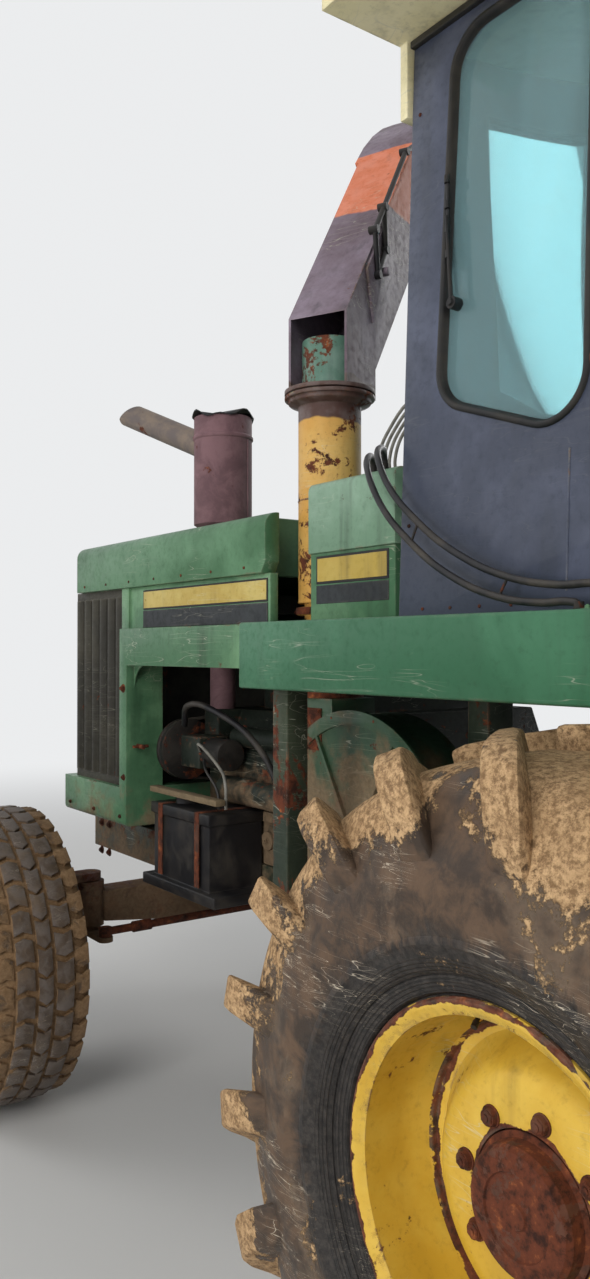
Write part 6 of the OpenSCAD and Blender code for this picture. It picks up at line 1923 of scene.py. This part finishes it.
@dataclass
class Intake:
    """Cutterhead housing, feeder house, rolls and lift cylinders."""

    def build(self) -> None:
        """Dresses the intake."""
        softened("cutterhead_housing", Finish.GREEN, 0.005)
        softened("feeder_house", Finish.GREEN, 0.005)
        for node in ("feed_roll_upper", "feed_roll_lower"):
            softened(node, Finish.STEEL, 0.002)
        softened("lift_barrels", Finish.CHASSIS, 0.003)
        softened("lift_rods", Finish.CHROME, 0.001)
        self.frame_bolts()

    def frame_bolts(self) -> None:
        """Adds bolts on the feeder's side walls."""
        bm = bmesh.new()
        low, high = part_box("feeder_house")
        for sign in (1, -1):
            for k in range(5):
                foot = Vector((low.x + 0.12 + 0.18 * k, sign * 0.459, 0.92))
                add_hex(bm, foot, (0, sign, 0), 0.008, 0.009)
        finish_piece("feeder_bolts", bm, "feeder", Finish.RUSTY)
        del high


@dataclass
class Hoses:
    """The two hoses beside the cab, with their fittings, and the loom behind the cab."""

    radius: float = 0.009
    loom_y: float = -0.70
    # points of both routes in millimetres: along the machine from the drive axle, outwards from
    # the face of the box or of the cab, and up
    upper: tuple[tuple[float, float, float], ...] = (
        (-1000, 0, 2205), (-1000, 0, 2232), (-997, -6, 2246), (-975, -35, 2262),
        (-925, -120, 2235), (-860, -145, 2140), (-740, -152, 2030), (-600, -155, 1940),
        (-440, -155, 1875), (-300, -155, 1850), (-190, -155, 1846), (-150, -155, 1832),
        (-135, -155, 1810), (-135, -155, 1785))
    lower: tuple[tuple[float, float, float], ...] = (
        (-1050, 0, 2205), (-1050, 0, 2226), (-1046, -8, 2240), (-1020, -45, 2250),
        (-960, -130, 2205), (-880, -155, 2090), (-760, -160, 1980), (-620, -164, 1890),
        (-460, -167, 1830), (-330, -167, 1812), (-262, -167, 1812), (-238, -167, 1805),
        (-235, -167, 1798), (-235, -167, 1785))

    def build(self) -> None:
        """Dresses the hoses and their fittings."""
        low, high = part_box("hoses")
        edge = high.y - self.radius
        axle = AXLE_X
        routes = {}
        for name, route in (("upper", self.upper), ("lower", self.lower)):
            routes[name] = [Vector((axle + x / 1000, edge + y / 1000 * self.reach(low, edge),
                                    z / 1000)) for x, y, z in route]
        swept("hose_upper", routes["upper"], self.radius, "chassis", Finish.HOSE,
              ("hoses",), 10)
        swept("hose_lower", routes["lower"], self.radius, "chassis", Finish.HOSE,
              (), 10)
        bm = bmesh.new()
        for route in routes.values():
            for end, inner in ((route[0], route[1]), (route[-1], route[-2])):
                way = (inner - end).normalized()
                add_rod(bm, end, end + way * 0.012, 0.0135, 6)
                add_rod(bm, end + way * 0.012, end + way * 0.026, 0.0115, 20, 0.0105)
        for share in (6, 8):
            a, b = routes["upper"][share], routes["lower"][share]
            middle_of = (a + b) / 2
            half = (a - b) / 2
            add_rod(bm, middle_of - half * 1.25, middle_of + half * 1.25, 0.0035, 8)
        finish_piece("hose_fittings", bm, "chassis", Finish.PULLEY)
        self.loom()

    def loom(self) -> None:
        """Lays the pale wires from the cab's rear wall into the lid of the side box."""
        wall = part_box("cab_shell")[0].x
        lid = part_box("side_boxes")[1].z
        for k in range(4):
            y = self.loom_y - 0.011 * k
            route = [Vector((wall + 0.002, y, lid + 0.15 + 0.012 * k)),
                     Vector((wall - 0.06, y, lid + 0.175 + 0.012 * k)),
                     Vector((wall - 0.16 - 0.012 * k, y + 0.006, lid + 0.14)),
                     Vector((wall - 0.20 - 0.012 * k, y, lid + 0.06)),
                     Vector((wall - 0.19 - 0.012 * k, y, lid - 0.002))]
            swept(f"loom_wire_{k}", route, 0.0048, "chassis", Finish.WIRE)

    def reach(self, low: Vector, edge: float) -> float:
        """Gives the scale that makes the routes' outward reach the solid's own."""
        return (edge - low.y - self.radius) / 0.167


# Stage


@dataclass
class Stage:
    """Pale floor, soft lamps and the camera at the photograph's place."""

    eye: tuple[float, float, float] = (2.145, -2.63, 1.71)
    heading: tuple[float, float, float] = (-0.8118, 0.5838, 0.0103)
    focal_px: float = 1000.0
    image: tuple[int, int] = (590, 1279)
    film: float = 36.0
    backdrop: tuple[float, float, float, float] = (0.86, 0.87, 0.88, 1.0)
    backdrop_strength: float = 0.97

    def build(self) -> None:
        """Sets the floor, the world, the lamps and the camera."""
        self.floor()
        self.world()
        self.lamps()
        self.camera()
        bpy.context.scene.view_settings.view_transform = "Standard"

    def floor(self) -> None:
        """Lays a wide pale floor under the machine."""
        bm = bmesh.new()
        bmesh.ops.create_grid(bm, x_segments=1, y_segments=1, size=60)
        mesh = bpy.data.meshes.new("floor")
        bm.to_mesh(mesh)
        bm.free()
        surface = Surface("floor")
        graph = surface.graph
        surface.close(hue("#d6d5d2"), 0.9)
        far = graph.node("VectorMath", {"operation": "LENGTH"}, Vector=surface.place)
        seen = graph.maths("MULTIPLY", graph.remap(far.outputs["Value"], 4.0, 13.0),
                           graph.node("LightPath").outputs["Is Camera Ray"])
        glow = graph.node("Emission", Color=self.backdrop, Strength=self.backdrop_strength)
        blend = graph.node("MixShader")
        graph.plug(blend.inputs[0], seen)
        graph.plug(blend.inputs[1], surface.shader.outputs[0])
        graph.plug(blend.inputs[2], glow.outputs[0])
        output = surface.material.node_tree.nodes["Material Output"]
        graph.plug(output.inputs["Surface"], blend.outputs[0])
        mesh.materials.append(surface.material)
        floor = bpy.data.objects.new("floor", mesh)
        bpy.context.scene.collection.objects.link(floor)

    def world(self) -> None:
        """Sets a soft grey sky that the camera, glass and metal see as pale."""
        world = bpy.data.worlds.new("studio")
        bpy.context.scene.world = world
        world.use_nodes = True
        graph = Graph(world.node_tree)
        background = world.node_tree.nodes["Background"]
        path = graph.node("LightPath")
        seen = graph.maths("MAXIMUM", path.outputs["Is Camera Ray"],
                           path.outputs["Is Glossy Ray"])
        seen = graph.maths("MAXIMUM", seen, path.outputs["Is Transmission Ray"])
        graph.plug(background.inputs["Color"], graph.mix(seen, (0.6, 0.62, 0.65, 1),
                                                         self.backdrop))
        graph.plug(background.inputs["Strength"], graph.remap(seen, 0.0, 1.0, 0.45,
                                                               self.backdrop_strength))

    def lamps(self) -> None:
        """Hangs four large soft lamps round the machine, one of them low like a pale yard."""
        aim = Vector((0.0, 0.0, 1.6))
        for name, place, size, power in (("key", (4.5, -7.5, 6.5), 5.0, 360.0),
                                         ("fill", (-6.5, -6.0, 4.5), 5.0, 190.0),
                                         ("back", (-3.0, 7.0, 7.0), 6.0, 300.0),
                                         ("low", (1.5, -7.0, 1.6), 2.4, 60.0)):
            data = bpy.data.lights.new(name, "AREA")
            data.shape = "DISK"
            data.size = size
            data.energy = power
            lamp = bpy.data.objects.new(name, data)
            lamp.location = place
            lamp.visible_glossy = name == "back"
            if name == "low":
                data.spread = math.radians(100)
            lamp.rotation_euler = (aim - Vector(place)).to_track_quat("-Z", "Y").to_euler()
            bpy.context.scene.collection.objects.link(lamp)

    def camera(self) -> None:
        """Stands the camera where the photograph was taken."""
        data = bpy.data.cameras.new("camera")
        data.sensor_width = self.film
        data.lens = self.focal_px / max(self.image) * self.film
        data.clip_end = 200
        camera = bpy.data.objects.new("camera", data)
        camera.location = self.eye
        camera.rotation_euler = Vector(self.heading).to_track_quat("-Z", "Y").to_euler()
        bpy.context.scene.collection.objects.link(camera)
        bpy.context.scene.camera = camera


def main() -> None:
    """Builds the dressed machine."""
    logging.basicConfig(level=logging.INFO, format="%(message)s")
    Stage().build()
    for part in (DriveWheel("drive", "right"), DriveWheel("drive", "left"),
                 SteerWheel("steer", "right"), SteerWheel("steer", "left"), Chassis(), Hood(),
                 PowerTrain(), Deck(), Cab(), Seat(), Lights(), Blower(), Pipe(), Spout(),
                 Exhaust(), Intake(), Hoses()):
        part.build()
        LOG.info("%s is done", type(part).__name__)


if __name__ == "__main__":
    main()
